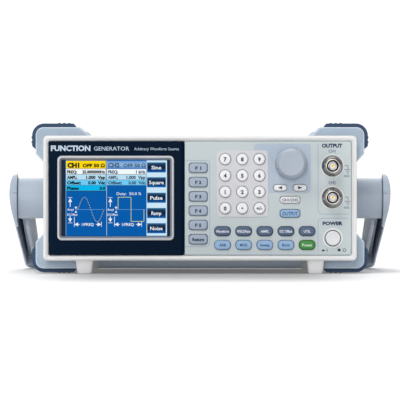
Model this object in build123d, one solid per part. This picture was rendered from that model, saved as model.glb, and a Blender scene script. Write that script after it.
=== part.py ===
from build123d import *
import math
import os

# Bench function generator in a half-rack case with corner guards and a swing handle.
# Millimetres. +X is the viewer's right, the front faces -Y, +Z is up, z = 0 is the bench.
# "Depth" is the distance behind the crest of the front bezel, positive towards the rear.

# ---------------------------------------------------------------- driving dimensions
CENTRE_Z = 52.25            # height of the case centre line above the bench
BEZEL_WIDTH, BEZEL_HEIGHT, BEZEL_DEPTH = 217.0, 86.5, 14.0
BEZEL_WALL = 3.8
PANEL_FRONT, PANEL_BACK = 1.6, 4.1          # depths of the key overlay plate
PANEL_GAP = 0.1                             # edge gap of plates that drop into the bezel
PANEL_SPLIT = -10.6                         # X where the display window meets the key panel
COVER_HALF_WIDTH, COVER_HALF_HEIGHT = 106.0, 41.25
COVER_BACK = 238.0                          # depth of the case's rear edge
SHEET = 1.0                                 # case sheet metal
REAR_PANEL_FRONT = 236.0

HUB_DEPTH = 76.0                            # depth of the handle pivot
HUB_RADIUS, HUB_TIP = 14.3, 128.8
PIN_RADIUS, PIN_TIP = 4.0, 131.9
PIVOT_CLEARANCE = 0.05
HANDLE_REACH = 202.0                        # pivot to the far side of the grip bar
GRIP_THICKNESS, GRIP_WIDTH, GRIP_CORNER = 12.0, 22.0, 5.9
ARM_INNER, ARM_OUTER, ARM_OUTER_AT_GRIP = 121.0, 134.0, 131.3
END_PLATE_RADIUS, END_PLATE_INNER = 17.4, 129.1

KNOB_X, KNOB_Z = 63.0, 76.2
KNOB_FRONT, KNOB_BACK = -12.9, 0.8          # depths
KNOB_RADIUS, KNOB_FACE_RADIUS = 11.0, 8.7
KNOB_SCALLOPS, SCALLOP_RADIUS, SCALLOP_BITE = 8, 3.4, 0.8
SHAFT_RADIUS, SHAFT_FRONT, SHAFT_BACK, SHAFT_HOLE_RADIUS = 3.0, -8.0, 11.0, 3.7

SOCKET_X, CHANNEL_SOCKET_Z = 91.6, (74.5, 52.6)
REAR_SOCKET_X, REAR_SOCKET_Z = (-40.0, -18.0, 4.0), 72.0
POWER_X, POWER_Z, POWER_RADIUS = 91.9, 24.6, 5.2
POWER_FRONT, POWER_STEM_FRONT, POWER_STEM_BACK, POWER_STEM_RADIUS = -1.3, 8.0, 18.0, 2.0
COLLAR_HEIGHT = 0.5
SOCKET_COLLAR, POWER_COLLAR = (7.4, 8.1), (5.65, 7.0)   # inner and outer radii
REAR_SCREW_X, REAR_SCREW_OFFSET_Z, SCREW_HOLE_RADIUS = 90.0, 36.0, 1.7

KEY_FRONT, NUMBER_KEY_FRONT = 0.0, -0.6     # depths of the key faces
KEY_CLEARANCE = 0.22
FLANGE_FRONT, FLANGE_BACK, FLANGE_EXTRA = 4.3, 5.1, 1.0
STEM_BACK, SWITCH_FRONT = 8.0, 9.2
BOARD_FRONT, BOARD_BACK = 12.0, 13.6

FAN_X, FAN_SIZE, FAN_FRONT, FAN_BACK = 52.0, 60.0, 221.0, 236.0
INLET_X, INLET_Z = -76.0, 38.0
USB_Z, USB_HOST_X, USB_DEVICE_X = 34.0, -38.0, -14.0

# Rest angle: the grip bar lies on the bench behind the case.
GRIP_ALONG = HANDLE_REACH - GRIP_CORNER
GRIP_ACROSS = GRIP_WIDTH / 2 - GRIP_CORNER
REST_ANGLE = math.degrees(
    math.asin((CENTRE_Z - GRIP_CORNER) / math.hypot(GRIP_ALONG, GRIP_ACROSS))
    - math.atan2(GRIP_ACROSS, GRIP_ALONG))
REAR_REACH = (HUB_DEPTH + GRIP_CORNER + GRIP_ALONG * math.cos(math.radians(REST_ANGLE))
              + GRIP_ACROSS * math.sin(math.radians(REST_ANGLE)))
FRONT_Y = -(REAR_REACH + KNOB_FRONT) / 2    # centres the whole object on Y


# ---------------------------------------------------------------- helpers
def facing(depth):
    """Plane parallel to the front at a depth: sketch x is X, sketch y is Z, normal is -Y."""
    return Plane((0, FRONT_Y + depth, 0), x_dir=(1, 0, 0), z_dir=(0, -1, 0))


def plate(outline, front, back):
    """Extrude an outline drawn in X and Z between two depths."""
    return extrude(facing(back) * outline, back - front)


def block(x0, x1, front, back, z0, z1):
    """Box between two X, two depths and two Z."""
    size = (x1 - x0, back - front, z1 - z0)
    centre = ((x0 + x1) / 2, FRONT_Y + (front + back) / 2, (z0 + z1) / 2)
    return Pos(*centre) * Box(*size)


def rounded(x0, x1, z0, z1, radius):
    """Rounded rectangle between two X and two Z."""
    return Pos((x0 + x1) / 2, (z0 + z1) / 2) * RectangleRounded(x1 - x0, z1 - z0, radius)


def disc(x, z, radius):
    """Circle at an X and Z."""
    return Pos(x, z) * Circle(radius)


def bar_x(x0, x1, depth, z, radius):
    """Cylinder along X."""
    return Pos((x0 + x1) / 2, FRONT_Y + depth, z) * Rot(0, 90, 0) * Cylinder(radius, x1 - x0)


def soften_front(part, radius):
    """Round the edges of a part's front face."""
    return fillet(part.edges().group_by(Axis.Y)[0], radius)


def polygon(points):
    """Closed face through points given in order."""
    return make_face(Polyline(*points, close=True))


def write(name, *shapes):
    """Write one node, keeping each piece as its own solid."""
    solids = [solid for shape in shapes for solid in shape.solids()]
    export_step(Compound(solids), f"parts/{name}.step")


# ---------------------------------------------------------------- keys
def key_table():
    """Every key as name -> (x, z, width, height, corner radius, face depth)."""
    keys = {}
    pad_x = [17.4 + 11.85 * column for column in range(3)]
    pad_z = [79.3 - 11.33 * row for row in range(4)]
    pad_names = [["7", "8", "9"], ["4", "5", "6"], ["1", "2", "3"], ["0", "point", "sign"]]
    for z, row in zip(pad_z, pad_names):
        for x, name in zip(pad_x, row):
            keys[f"key_{name}"] = (x, z, 8.1, 8.1, 4.04, NUMBER_KEY_FRONT)
    soft_names = ["f1", "f2", "f3", "f4", "f5", "return"]
    for row, name in enumerate(soft_names):
        keys[f"key_{name}"] = (-1.2, 73.2 - 9.88 * row, 12.9, 6.9, 1.8, KEY_FRONT)
    function_names = [["waveform", "frequency", "amplitude", "offset", "utility"],
                      ["arb", "mod", "sweep", "burst", "preset"]]
    for z, row in zip([29.4, 19.9], function_names):
        for column, name in enumerate(row):
            keys[f"key_{name}"] = (15.6 + 14.63 * column, z, 11.3, 6.7, 3.1, KEY_FRONT)
    keys["key_left"] = (55.5, 59.5, 9.5, 4.6, 2.1, KEY_FRONT)
    keys["key_right"] = (69.2, 59.5, 9.5, 4.6, 2.1, KEY_FRONT)
    keys["key_channel_select"] = (62.3, 51.1, 14.0, 4.8, 1.7, KEY_FRONT)
    keys["key_output"] = (62.3, 41.7, 14.0, 5.7, 2.2, KEY_FRONT)
    return keys


KEYS = key_table()
KEY_EDGE = 0.8
STEM_RADIUS = 1.6


def key_outline(name, extra=0.0):
    """A key's outline, grown by an amount all round."""
    x, z, width, height, corner, _ = KEYS[name]
    return Pos(x, z) * RectangleRounded(width + 2 * extra, height + 2 * extra, corner + extra)


def key(name):
    """Cap, retaining flange and plunger stem in one moulding."""
    x, z, *_, face = KEYS[name]
    cap = soften_front(plate(key_outline(name), face, FLANGE_FRONT), KEY_EDGE)
    flange = plate(key_outline(name, FLANGE_EXTRA), FLANGE_FRONT, FLANGE_BACK)
    stem = plate(disc(x, z, STEM_RADIUS), FLANGE_BACK, STEM_BACK)
    return cap + flange + stem


def key_holes(names, front, back):
    """Cutters that let the keys through a plate."""
    return [plate(key_outline(name, KEY_CLEARANCE), front, back) for name in names]


# ---------------------------------------------------------------- front
def front_bezel():
    """Rim round the front with a rounded crest, an inner slope, a ledge and side notches."""
    opening_x = BEZEL_WIDTH / 2 - BEZEL_WALL
    opening_z = BEZEL_HEIGHT / 2 - BEZEL_WALL
    ledge, ledge_back, slope = 2.0, 5.6, 1.9
    low, high = CENTRE_Z - opening_z, CENTRE_Z + opening_z
    rim = plate(Pos(0, CENTRE_Z) * RectangleRounded(BEZEL_WIDTH, BEZEL_HEIGHT, 3.0),
                0, BEZEL_DEPTH)
    rim = soften_front(rim, 1.7)
    rim -= plate(rounded(-opening_x, opening_x, low, high, 1.4), 0, PANEL_BACK)
    rim -= plate(rounded(-opening_x + ledge, opening_x - ledge, low + ledge, high - ledge, 1.0),
                 PANEL_BACK, ledge_back)
    rim -= plate(rounded(-opening_x, opening_x, low, high, 1.4), ledge_back, BEZEL_DEPTH)
    mouth = facing(0) * rounded(-opening_x - slope, opening_x + slope,
                                low - slope, high + slope, 1.4 + slope)
    throat = facing(PANEL_FRONT) * rounded(-opening_x, opening_x, low, high, 1.4)
    rim -= loft([mouth.face(), throat.face()])
    notch_bite, notch_height = 0.7, 3.4
    for side in (-1, 1):
        for offset in (-16.2, -9.2, 9.4, 17.0):
            edge = side * BEZEL_WIDTH / 2
            middle = CENTRE_Z + offset
            rim -= block(edge - notch_bite, edge + notch_bite, 2.2, 9.0,
                         middle - notch_height / 2, middle + notch_height / 2)
    return rim


def socket_positions():
    """Front and rear BNC places as (x, z)."""
    return [(SOCKET_X, z) for z in CHANNEL_SOCKET_Z], [(x, REAR_SOCKET_Z) for x in REAR_SOCKET_X]


SOCKET_BODY_RADIUS, SOCKET_HOLE_RADIUS = 4.75, 4.85


def front_panel():
    """Key overlay plate with raised collars round the sockets and the power button."""
    right = BEZEL_WIDTH / 2 - BEZEL_WALL - PANEL_GAP
    low = CENTRE_Z - BEZEL_HEIGHT / 2 + BEZEL_WALL + PANEL_GAP
    high = CENTRE_Z + BEZEL_HEIGHT / 2 - BEZEL_WALL - PANEL_GAP
    panel = plate(rounded(PANEL_SPLIT + PANEL_GAP, right, low, high, 1.2), PANEL_FRONT, PANEL_BACK)
    collar_front = PANEL_FRONT - COLLAR_HEIGHT
    channels, _ = socket_positions()
    collars = [(x, z, *SOCKET_COLLAR) for x, z in channels] + [(POWER_X, POWER_Z, *POWER_COLLAR)]
    for x, z, inner, outer in collars:
        panel += plate(disc(x, z, outer) - disc(x, z, inner), collar_front, PANEL_FRONT)
    for cutter in key_holes(KEYS, 0, PANEL_BACK):
        panel -= cutter
    for x, z in channels:
        panel -= plate(disc(x, z, SOCKET_HOLE_RADIUS), 0, PANEL_BACK)
    panel -= plate(disc(KNOB_X, KNOB_Z, SHAFT_HOLE_RADIUS), 0, PANEL_BACK)
    panel -= plate(disc(POWER_X, POWER_Z, POWER_COLLAR[0]), 0, PANEL_BACK)
    return panel


PAD_X, PAD_Z = (11.3, 47.4), (39.2, 85.4)
PAD_FRONT = 1.0


def keypad_plate():
    """Raised plate round the twelve number keys."""
    pad = soften_front(plate(rounded(*PAD_X, *PAD_Z, 3.1), PAD_FRONT, PANEL_FRONT), 0.3)
    numbers = [name for name in KEYS if KEYS[name][-1] == NUMBER_KEY_FRONT]
    for cutter in key_holes(numbers, 0, PANEL_FRONT):
        pad -= cutter
    return pad


FRAME_X, FRAME_Z = (-98.7, -18.0), (23.1, 81.6)        # outside of the screen's bead
SCREEN_X, SCREEN_Z = (-96.0, -20.6), (25.5, 79.3)      # clear opening inside it
FRAME_FRONT, FRAME_BACK = -0.4, 3.0
WINDOW_FRONT = 0.5


def display_window():
    """Dark plate over the left half, bevelled where it meets the key panel."""
    left = -(BEZEL_WIDTH / 2 - BEZEL_WALL - PANEL_GAP)
    right = PANEL_SPLIT - PANEL_GAP
    low = CENTRE_Z - BEZEL_HEIGHT / 2 + BEZEL_WALL + PANEL_GAP
    high = CENTRE_Z + BEZEL_HEIGHT / 2 - BEZEL_WALL - PANEL_GAP
    window = plate(rounded(left, right, low, high, 1.2), WINDOW_FRONT, PANEL_BACK)
    window -= plate(rounded(FRAME_X[0] - PANEL_GAP, FRAME_X[1] + PANEL_GAP,
                            FRAME_Z[0] - PANEL_GAP, FRAME_Z[1] + PANEL_GAP, 3.2),
                    WINDOW_FRONT, PANEL_BACK)
    bevel_width, bevel_depth = 2.2, 1.0
    front_y = FRONT_Y + WINDOW_FRONT
    bevel = polygon([(right - bevel_width, front_y), (right, front_y), (right, front_y + bevel_depth)])
    window -= extrude(Pos(0, 0, low) * bevel, high - low)
    return window


def display_frame():
    """Bead round the screen whose inner half slopes down to the glass."""
    bead = soften_front(plate(rounded(*FRAME_X, *FRAME_Z, 3.1), FRAME_FRONT, FRAME_BACK), 0.5)
    bead -= plate(rounded(*SCREEN_X, *SCREEN_Z, 1.0), FRAME_FRONT, FRAME_BACK)
    slope, slope_back = 1.3, 2.4
    mouth = facing(FRAME_FRONT) * rounded(SCREEN_X[0] - slope, SCREEN_X[1] + slope,
                                          SCREEN_Z[0] - slope, SCREEN_Z[1] + slope, 1.0 + slope)
    throat = facing(slope_back) * rounded(*SCREEN_X, *SCREEN_Z, 1.0)
    return bead - loft([mouth.face(), throat.face()])


def lcd_panel():
    """Screen module: glass step inside the window opening, and the module behind it."""
    inset, module_margin, module_back = 0.4, 2.3, 9.0
    glass = plate(rounded(FRAME_X[0] + inset, FRAME_X[1] - inset,
                          FRAME_Z[0] + inset, FRAME_Z[1] - inset, 2.8), FRAME_BACK, PANEL_BACK)
    module = plate(rounded(FRAME_X[0] - module_margin, FRAME_X[1] + module_margin,
                           FRAME_Z[0] - module_margin, FRAME_Z[1] + module_margin, 1.0),
                   PANEL_BACK, module_back)
    return glass + module


ENCODER_HALF, ENCODER_FRONT = 6.25, 5.0


def front_board():
    """Circuit board with a switch under each key, the encoder body and the power switch."""
    board = block(-12.0, 103.0, BOARD_FRONT, BOARD_BACK, 14.9, 89.6)
    for x, z in socket_positions()[0]:
        board -= plate(disc(x, z, 5.2), BOARD_FRONT, BOARD_BACK)
    board -= plate(disc(POWER_X, POWER_Z, 3.0), BOARD_FRONT, BOARD_BACK)
    switch_half = 2.5
    switches = [block(x - switch_half, x + switch_half, SWITCH_FRONT, BOARD_FRONT,
                      z - switch_half, z + switch_half) for x, z, *_ in KEYS.values()]
    encoder = block(KNOB_X - ENCODER_HALF, KNOB_X + ENCODER_HALF, ENCODER_FRONT, BOARD_FRONT,
                    KNOB_Z - ENCODER_HALF, KNOB_Z + ENCODER_HALF)
    encoder -= plate(disc(KNOB_X, KNOB_Z, SHAFT_RADIUS + PIVOT_CLEARANCE), ENCODER_FRONT, BOARD_FRONT)
    power_half, power_back = 5.0, 26.0
    power = block(POWER_X - power_half, POWER_X + power_half, BOARD_BACK, power_back,
                  POWER_Z - power_half, POWER_Z + power_half)
    power -= plate(disc(POWER_X, POWER_Z, 2.1), BOARD_BACK, 22.0)
    posts = [plate(disc(x, z, 1.2), PANEL_BACK, BOARD_FRONT)
             for x, z in ((7.6, 16.2), (8.4, 88.2), (83.0, 16.5), (83.0, 88.0))]
    return [board, encoder, power] + switches + posts


def power_button():
    """Round push button with its plunger into the latching switch."""
    cap = plate(disc(POWER_X, POWER_Z, POWER_RADIUS), POWER_FRONT, POWER_STEM_FRONT)
    cap = soften_front(cap, 0.8)
    dish_radius, dish_sink = 24.0, 0.35
    dish_y = FRONT_Y + POWER_FRONT - dish_radius + dish_sink
    dish = Pos(POWER_X, dish_y, POWER_Z) * Sphere(dish_radius)
    stem = plate(disc(POWER_X, POWER_Z, POWER_STEM_RADIUS), POWER_STEM_FRONT, POWER_STEM_BACK)
    return cap - dish + stem


def encoder_knob():
    """Tapered knob with finger scallops and a blind bore for the shaft."""
    base = facing(KNOB_BACK) * Pos(KNOB_X, KNOB_Z) * Circle(KNOB_RADIUS)
    shoulder = facing(KNOB_FRONT + 3.2) * Pos(KNOB_X, KNOB_Z) * Circle(KNOB_RADIUS - 0.8)
    body = loft([base.face(), shoulder.face()])
    face = facing(KNOB_FRONT) * Pos(KNOB_X, KNOB_Z) * Circle(KNOB_FACE_RADIUS)
    body += loft([shoulder.face(), face.face()])
    pitch = 360 / KNOB_SCALLOPS
    for index in range(KNOB_SCALLOPS):
        angle = math.radians((index + 0.5) * pitch)
        reach = KNOB_RADIUS + SCALLOP_RADIUS - SCALLOP_BITE
        body -= plate(disc(KNOB_X + reach * math.cos(angle), KNOB_Z + reach * math.sin(angle),
                           SCALLOP_RADIUS), KNOB_FRONT, KNOB_BACK)
    return body - plate(disc(KNOB_X, KNOB_Z, SHAFT_RADIUS), SHAFT_FRONT, KNOB_BACK)


def encoder_shaft():
    """Round shaft from the knob's bore into the encoder body."""
    return plate(disc(KNOB_X, KNOB_Z, SHAFT_RADIUS), SHAFT_FRONT, SHAFT_BACK)


# ---------------------------------------------------------------- sockets
def bnc_shell(x, z, panel_face, direction):
    """Bayonet socket shell; direction +1 points to the front, -1 to the rear."""
    def ring(radius, start, stop):
        near, far = panel_face - direction * start, panel_face - direction * stop
        return plate(disc(x, z, radius), min(near, far), max(near, far))

    barrel_tip, bore_floor, tail = 11.8, 4.4, -10.4
    shell = ring(7.2, 0, 1.6) + ring(6.2, 1.6, 3.4) + ring(4.85, 3.4, barrel_tip)
    shell += ring(SOCKET_BODY_RADIUS, tail, 0)
    lug_reach, lug_place = 5.6, 8.6
    lug_depth = panel_face - direction * lug_place
    shell += bar_x(x - lug_reach, x + lug_reach, lug_depth, z, 1.0)
    shell -= ring(4.05, bore_floor, barrel_tip)
    return shell - ring(2.35, tail, bore_floor)


def bnc_core(x, z, panel_face, direction):
    """White insulator and the gold centre contact of a bayonet socket."""
    def ring(radius, start, stop):
        near, far = panel_face - direction * start, panel_face - direction * stop
        return plate(disc(x, z, radius), min(near, far), max(near, far))

    insulator = ring(2.3, -11.0, 9.6) - ring(1.05, -11.0, 9.6)
    contact = ring(1.0, -14.0, 9.4) - ring(0.68, 4.0, 9.4)
    return [insulator, contact]


# ---------------------------------------------------------------- case
def top_cover():
    """Painted sheet cover: top, two sides with vent slots, and a rear lip for two screws."""
    bottom, top = CENTRE_Z - COVER_HALF_HEIGHT, CENTRE_Z + COVER_HALF_HEIGHT
    inner_x = COVER_HALF_WIDTH - SHEET
    cover = plate(rounded(-COVER_HALF_WIDTH, COVER_HALF_WIDTH, bottom, top, 2.5),
                  BEZEL_DEPTH, COVER_BACK)
    cover -= plate(rounded(-inner_x, inner_x, bottom + SHEET, top - SHEET, 1.5),
                   BEZEL_DEPTH, COVER_BACK)
    cover -= block(-inner_x, inner_x, BEZEL_DEPTH, COVER_BACK, bottom - SHEET, bottom + 4 * SHEET)
    slot_width, slot_pitch, slot_first, slot_count = 2.5, 6.0, 132.0, 12
    for index in range(slot_count):
        start = slot_first + index * slot_pitch
        cover -= plate(Pos(0, CENTRE_Z) * Rectangle(3 * COVER_HALF_WIDTH, 24.0),
                       start, start + slot_width)
    cover -= bar_x(-COVER_HALF_WIDTH, COVER_HALF_WIDTH, HUB_DEPTH, CENTRE_Z, 2.2)
    lip = block(-98.0, 98.0, REAR_PANEL_FRONT - SHEET, REAR_PANEL_FRONT, top - SHEET - 8, top - SHEET)
    for x, z in rear_screw_places():
        lip -= plate(disc(x, z, SCREW_HOLE_RADIUS), REAR_PANEL_FRONT - SHEET, REAR_PANEL_FRONT)
    return cover + lip


def rear_screw_places():
    """Screws that hold the rear panel to the lips of cover and chassis."""
    return [(side * REAR_SCREW_X, CENTRE_Z + level * REAR_SCREW_OFFSET_Z)
            for side, level in corners()]


def base_chassis():
    """Folded tray: floor, side flanges inside the cover and a rear lip."""
    bottom = CENTRE_Z - COVER_HALF_HEIGHT
    edge = COVER_HALF_WIDTH - SHEET - 0.1
    flange_height = 12.0
    tray = block(-edge, edge, BEZEL_DEPTH, REAR_PANEL_FRONT, bottom, bottom + SHEET)
    for side in (-1, 1):
        inner, outer = sorted((side * (edge - SHEET), side * edge))
        tray += block(inner, outer, BEZEL_DEPTH, REAR_PANEL_FRONT, bottom, bottom + flange_height)
    lip = block(-98.0, 98.0, REAR_PANEL_FRONT - SHEET, REAR_PANEL_FRONT, bottom, bottom + 9.0)
    for x, z in rear_screw_places():
        lip -= plate(disc(x, z, SCREW_HOLE_RADIUS), REAR_PANEL_FRONT - SHEET, REAR_PANEL_FRONT)
    slot_count, slot_pitch = 9, 8.0
    tray += lip
    for index in range(slot_count):
        x = (index - (slot_count - 1) / 2) * slot_pitch
        tray -= block(x - 1.5, x + 1.5, 150.0, 190.0, bottom, bottom + SHEET)
    return tray


def rear_panel():
    """Rear plate with the fan grille and the holes for every rear connector."""
    edge = COVER_HALF_WIDTH - SHEET - 0.1
    bottom, top = CENTRE_Z - COVER_HALF_HEIGHT, CENTRE_Z + COVER_HALF_HEIGHT - SHEET - 0.1
    panel = plate(rounded(-edge, edge, bottom, top, 1.6), REAR_PANEL_FRONT, COVER_BACK)
    slot_pitch, slot_height, grille_radius = 5.4, 3.2, 27.0
    for index in range(-4, 5):
        offset = index * slot_pitch
        half = math.sqrt(grille_radius ** 2 - offset ** 2)
        outline = Pos(FAN_X, CENTRE_Z + offset) * SlotOverall(2 * half, slot_height)
        panel -= plate(outline, REAR_PANEL_FRONT, COVER_BACK)
    for x, z in socket_positions()[1]:
        panel -= plate(disc(x, z, SOCKET_HOLE_RADIUS), REAR_PANEL_FRONT, COVER_BACK)
    for x, z in rear_screw_places():
        panel -= plate(disc(x, z, SCREW_HOLE_RADIUS), REAR_PANEL_FRONT, COVER_BACK)
    panel -= block(INLET_X - INLET_BODY_HALF - 0.1, INLET_X + INLET_BODY_HALF + 0.1,
                   REAR_PANEL_FRONT, COVER_BACK, INLET_Z - 16.1, INLET_Z + 16.1)
    for x, width, height in usb_sizes():
        panel -= block(x - width / 2 - 0.1, x + width / 2 + 0.1, REAR_PANEL_FRONT, COVER_BACK,
                       USB_Z - height / 2 - 0.1, USB_Z + height / 2 + 0.1)
    return panel


# ---------------------------------------------------------------- guards and feet
GUARD_OUTER_X, GUARD_OUTER_Z = 114.2, 49.1      # half sizes of the guards
RUBBER_OUTER_X, RUBBER_OUTER_Z = 116.8, 51.75   # half sizes of the rubber strips
GUARD_SPANS = ((14.0, 44.0), (220.0, 250.0))    # depths of the front and rear guards
RUBBER_INSET = 4.0
GUARD_SCREW_X, GUARD_SCREW_Z = 109.9, 44.9
COUNTERBORE_RADIUS, COUNTERBORE_DEPTH = 2.8, 3.2
PILOT_RADIUS, PILOT_DEPTH = 1.6, 22.0


def corners():
    """The four corners as (side, level) signs."""
    return [(side, level) for side in (-1, 1) for level in (-1, 1)]


def corner_face(points, side, level, roundings):
    """Mirror a first-quadrant outline into a corner and round chosen points."""
    face = polygon([(side * x, CENTRE_Z + level * z) for x, z in points])
    for (x, z), radius in roundings:
        target = Vertex(side * x, CENTRE_Z + level * z, 0)
        face = fillet(face.vertices().sort_by_distance(target)[0], radius)
    return face


def corner_guard(side, level, front, back):
    """Moulded L-shaped guard that wraps one edge of the case."""
    outline = [(74.6, COVER_HALF_HEIGHT), (83.3, GUARD_OUTER_Z), (GUARD_OUTER_X, GUARD_OUTER_Z),
               (GUARD_OUTER_X, 30.55), (COVER_HALF_WIDTH, 21.6),
               (COVER_HALF_WIDTH, COVER_HALF_HEIGHT)]
    face = corner_face(outline, side, level, [((GUARD_OUTER_X, GUARD_OUTER_Z), 5.5)])
    guard = plate(face, front, back)
    x, z = guard_screw_place(side, level)
    guard -= plate(disc(x, z, COUNTERBORE_RADIUS), back - COUNTERBORE_DEPTH, back)
    return guard - plate(disc(x, z, PILOT_RADIUS), back - PILOT_DEPTH, back)


def guard_screw_place(side, level):
    """Screw place in the thick corner of a guard."""
    return side * GUARD_SCREW_X, CENTRE_Z + level * GUARD_SCREW_Z


def guard_rubber(side, level, front, back):
    """Rubber strip bent round a guard's corner, with cross ribs."""
    outline = [(85.8, GUARD_OUTER_Z), (88.1, RUBBER_OUTER_Z), (RUBBER_OUTER_X, RUBBER_OUTER_Z),
               (RUBBER_OUTER_X, 36.05), (GUARD_OUTER_X, 33.55), (GUARD_OUTER_X, GUARD_OUTER_Z)]
    face = corner_face(outline, side, level, [((RUBBER_OUTER_X, RUBBER_OUTER_Z), 8.4),
                                              ((GUARD_OUTER_X, GUARD_OUTER_Z), 5.2)])
    strip = plate(face, front, back)
    rib_radius, rib_sink = 0.8, 0.3
    places = [(x, RUBBER_OUTER_Z - rib_sink) for x in (97.9, 94.5, 91.1)]
    places += [(RUBBER_OUTER_X - rib_sink, z) for z in (42.1, 38.7)]
    for x, z in places:
        strip += plate(disc(side * x, CENTRE_Z + level * z, rib_radius), front, back)
    return strip


def foot(x, front, back, top):
    """Tapered foot, wider where it meets the case."""
    upper_width, lower_width, length = 12.2, 9.9, back - front
    middle = Pos(x, FRONT_Y + (front + back) / 2)
    upper = Plane.XY.offset(top) * middle * Rectangle(upper_width, length)
    lower = Plane.XY * middle * Rectangle(lower_width, length - 2)
    return loft([lower.face(), upper.face()])


# ---------------------------------------------------------------- handle
def pivot_hub(side):
    """Round boss on the case side with the pivot pin that carries the handle."""
    base, bolt_hole_radius, bolt_hole_tip = COVER_HALF_WIDTH, 2.15, 119.0
    ends = sorted((side * base, side * HUB_TIP))
    hub = bar_x(*ends, HUB_DEPTH, CENTRE_Z, HUB_RADIUS)
    hub += bar_x(*sorted((side * HUB_TIP, side * PIN_TIP)), HUB_DEPTH, CENTRE_Z, PIN_RADIUS)
    return hub - bar_x(*sorted((side * base, side * bolt_hole_tip)), HUB_DEPTH, CENTRE_Z,
                       bolt_hole_radius)


def arm_crown():
    """Envelope that crowns the arms' outer faces: a wide block with a cylinder at each end."""
    crown_radius, block_half = 55.0, 112.0
    lean = math.degrees(math.atan((ARM_OUTER - ARM_OUTER_AT_GRIP) / HANDLE_REACH))
    length = 3 * HANDLE_REACH
    envelope = Box(2 * block_half, length, 3 * GRIP_WIDTH)
    for side in (-1, 1):
        axis_x = side * (ARM_OUTER - crown_radius)
        turn = Rot(0, 0, side * lean) * Rot(90, 0, 0)
        envelope += Pos(axis_x, 0, 0) * turn * Cylinder(crown_radius, length)
    return envelope


def carry_handle():
    """U-shaped handle: two channel arms with round end plates, and a solid grip bar.

    It is drawn level with the pivot at the origin and the arms along +Y, then turned down
    to its rest angle and moved to the pivot.
    """
    half_grip, tail = GRIP_WIDTH / 2, -20.0
    grip_inner = HANDLE_REACH - GRIP_THICKNESS
    side_disc = Circle(END_PLATE_RADIUS)
    side_grip = Pos((grip_inner + HANDLE_REACH) / 2, 0) * RectangleRounded(
        GRIP_THICKNESS, GRIP_WIDTH, GRIP_CORNER)
    silhouette = make_hull(side_disc.edges() + side_grip.edges())
    side_prism = extrude(Plane.YZ * silhouette, ARM_OUTER + 1, both=True)

    outer = polygon([(-ARM_OUTER, tail), (-ARM_OUTER_AT_GRIP, HANDLE_REACH),
                     (ARM_OUTER_AT_GRIP, HANDLE_REACH), (ARM_OUTER, tail)])
    outer = fillet(outer.vertices().group_by(Axis.Y)[-1], 8.0)
    inner = polygon([(-ARM_INNER, tail), (-ARM_INNER, grip_inner),
                     (ARM_INNER, grip_inner), (ARM_INNER, tail)])
    inner = fillet(inner.vertices().group_by(Axis.Y)[-1], 5.0)
    handle = extrude(outer - inner, END_PLATE_RADIUS + 1, both=True) & side_prism
    handle &= arm_crown()

    relief, channel_end, web, wall = HUB_RADIUS + 7.2, 184.0, 3.0, 2.8
    hub_wall, far_wall = ARM_OUTER - wall, ARM_OUTER_AT_GRIP - wall
    for side in (-1, 1):
        near, far = sorted((side * (ARM_INNER - 1), side * END_PLATE_INNER))
        clear = Pos((near + far) / 2, 0, 0) * Rot(0, 90, 0) * Cylinder(relief, far - near)
        clear += Pos((near + far) / 2, tail / 2, 0) * Box(far - near, -tail, 2 * END_PLATE_RADIUS)
        handle -= clear
        floor_plan = polygon([(side * (ARM_INNER + wall), relief - 2), (side * hub_wall, relief + 3),
                              (side * far_wall, channel_end),
                              (side * (ARM_INNER + wall), channel_end)])
        channel = extrude(floor_plan, END_PLATE_RADIUS + 1, both=True)
        under_web = polygon([(0, -END_PLATE_RADIUS - 2), (0, END_PLATE_RADIUS - web),
                             (channel_end, half_grip - web), (channel_end, -END_PLATE_RADIUS - 2)])
        channel &= extrude(Plane.YZ * under_web, ARM_OUTER + 1, both=True)
        rib_x = side * (ARM_INNER + wall + 2.4)
        rib = Pos(rib_x, channel_end / 2 + relief, 6) * Box(2.4, channel_end, 22.0)
        handle -= channel - rib
        pin_ends = sorted((side * (END_PLATE_INNER - 1), side * (PIN_TIP + 0.3)))
        pin_hole = Pos(sum(pin_ends) / 2, 0, 0) * Rot(0, 90, 0) * Cylinder(
            PIN_RADIUS + PIVOT_CLEARANCE, pin_ends[1] - pin_ends[0])
        handle -= pin_hole
    return Pos(0, FRONT_Y + HUB_DEPTH, CENTRE_Z) * Rot(-REST_ANGLE, 0, 0) * handle


# ---------------------------------------------------------------- inside and rear
FAN_BORE, SPINDLE_RADIUS = 28.4, 1.5


def fan_frame():
    """Square fan frame with a round duct, four struts and the motor base."""
    half = FAN_SIZE / 2
    outline = rounded(FAN_X - half, FAN_X + half, CENTRE_Z - half, CENTRE_Z + half, 4.0)
    frame = plate(outline - disc(FAN_X, CENTRE_Z, FAN_BORE), FAN_FRONT, FAN_BACK)
    strut = Pos(FAN_X, CENTRE_Z) * (Rot(0, 0, 20) * Rectangle(2 * FAN_BORE + 1, 3.0)
                                    + Rot(0, 0, 110) * Rectangle(2 * FAN_BORE + 1, 3.0))
    frame += plate(strut, FAN_BACK - 2.5, FAN_BACK)
    frame += plate(disc(FAN_X, CENTRE_Z, 10.5), FAN_BACK - 4.5, FAN_BACK)
    return frame - plate(disc(FAN_X, CENTRE_Z, SPINDLE_RADIUS + PIVOT_CLEARANCE),
                         FAN_BACK - 4.5, FAN_BACK)


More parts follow.
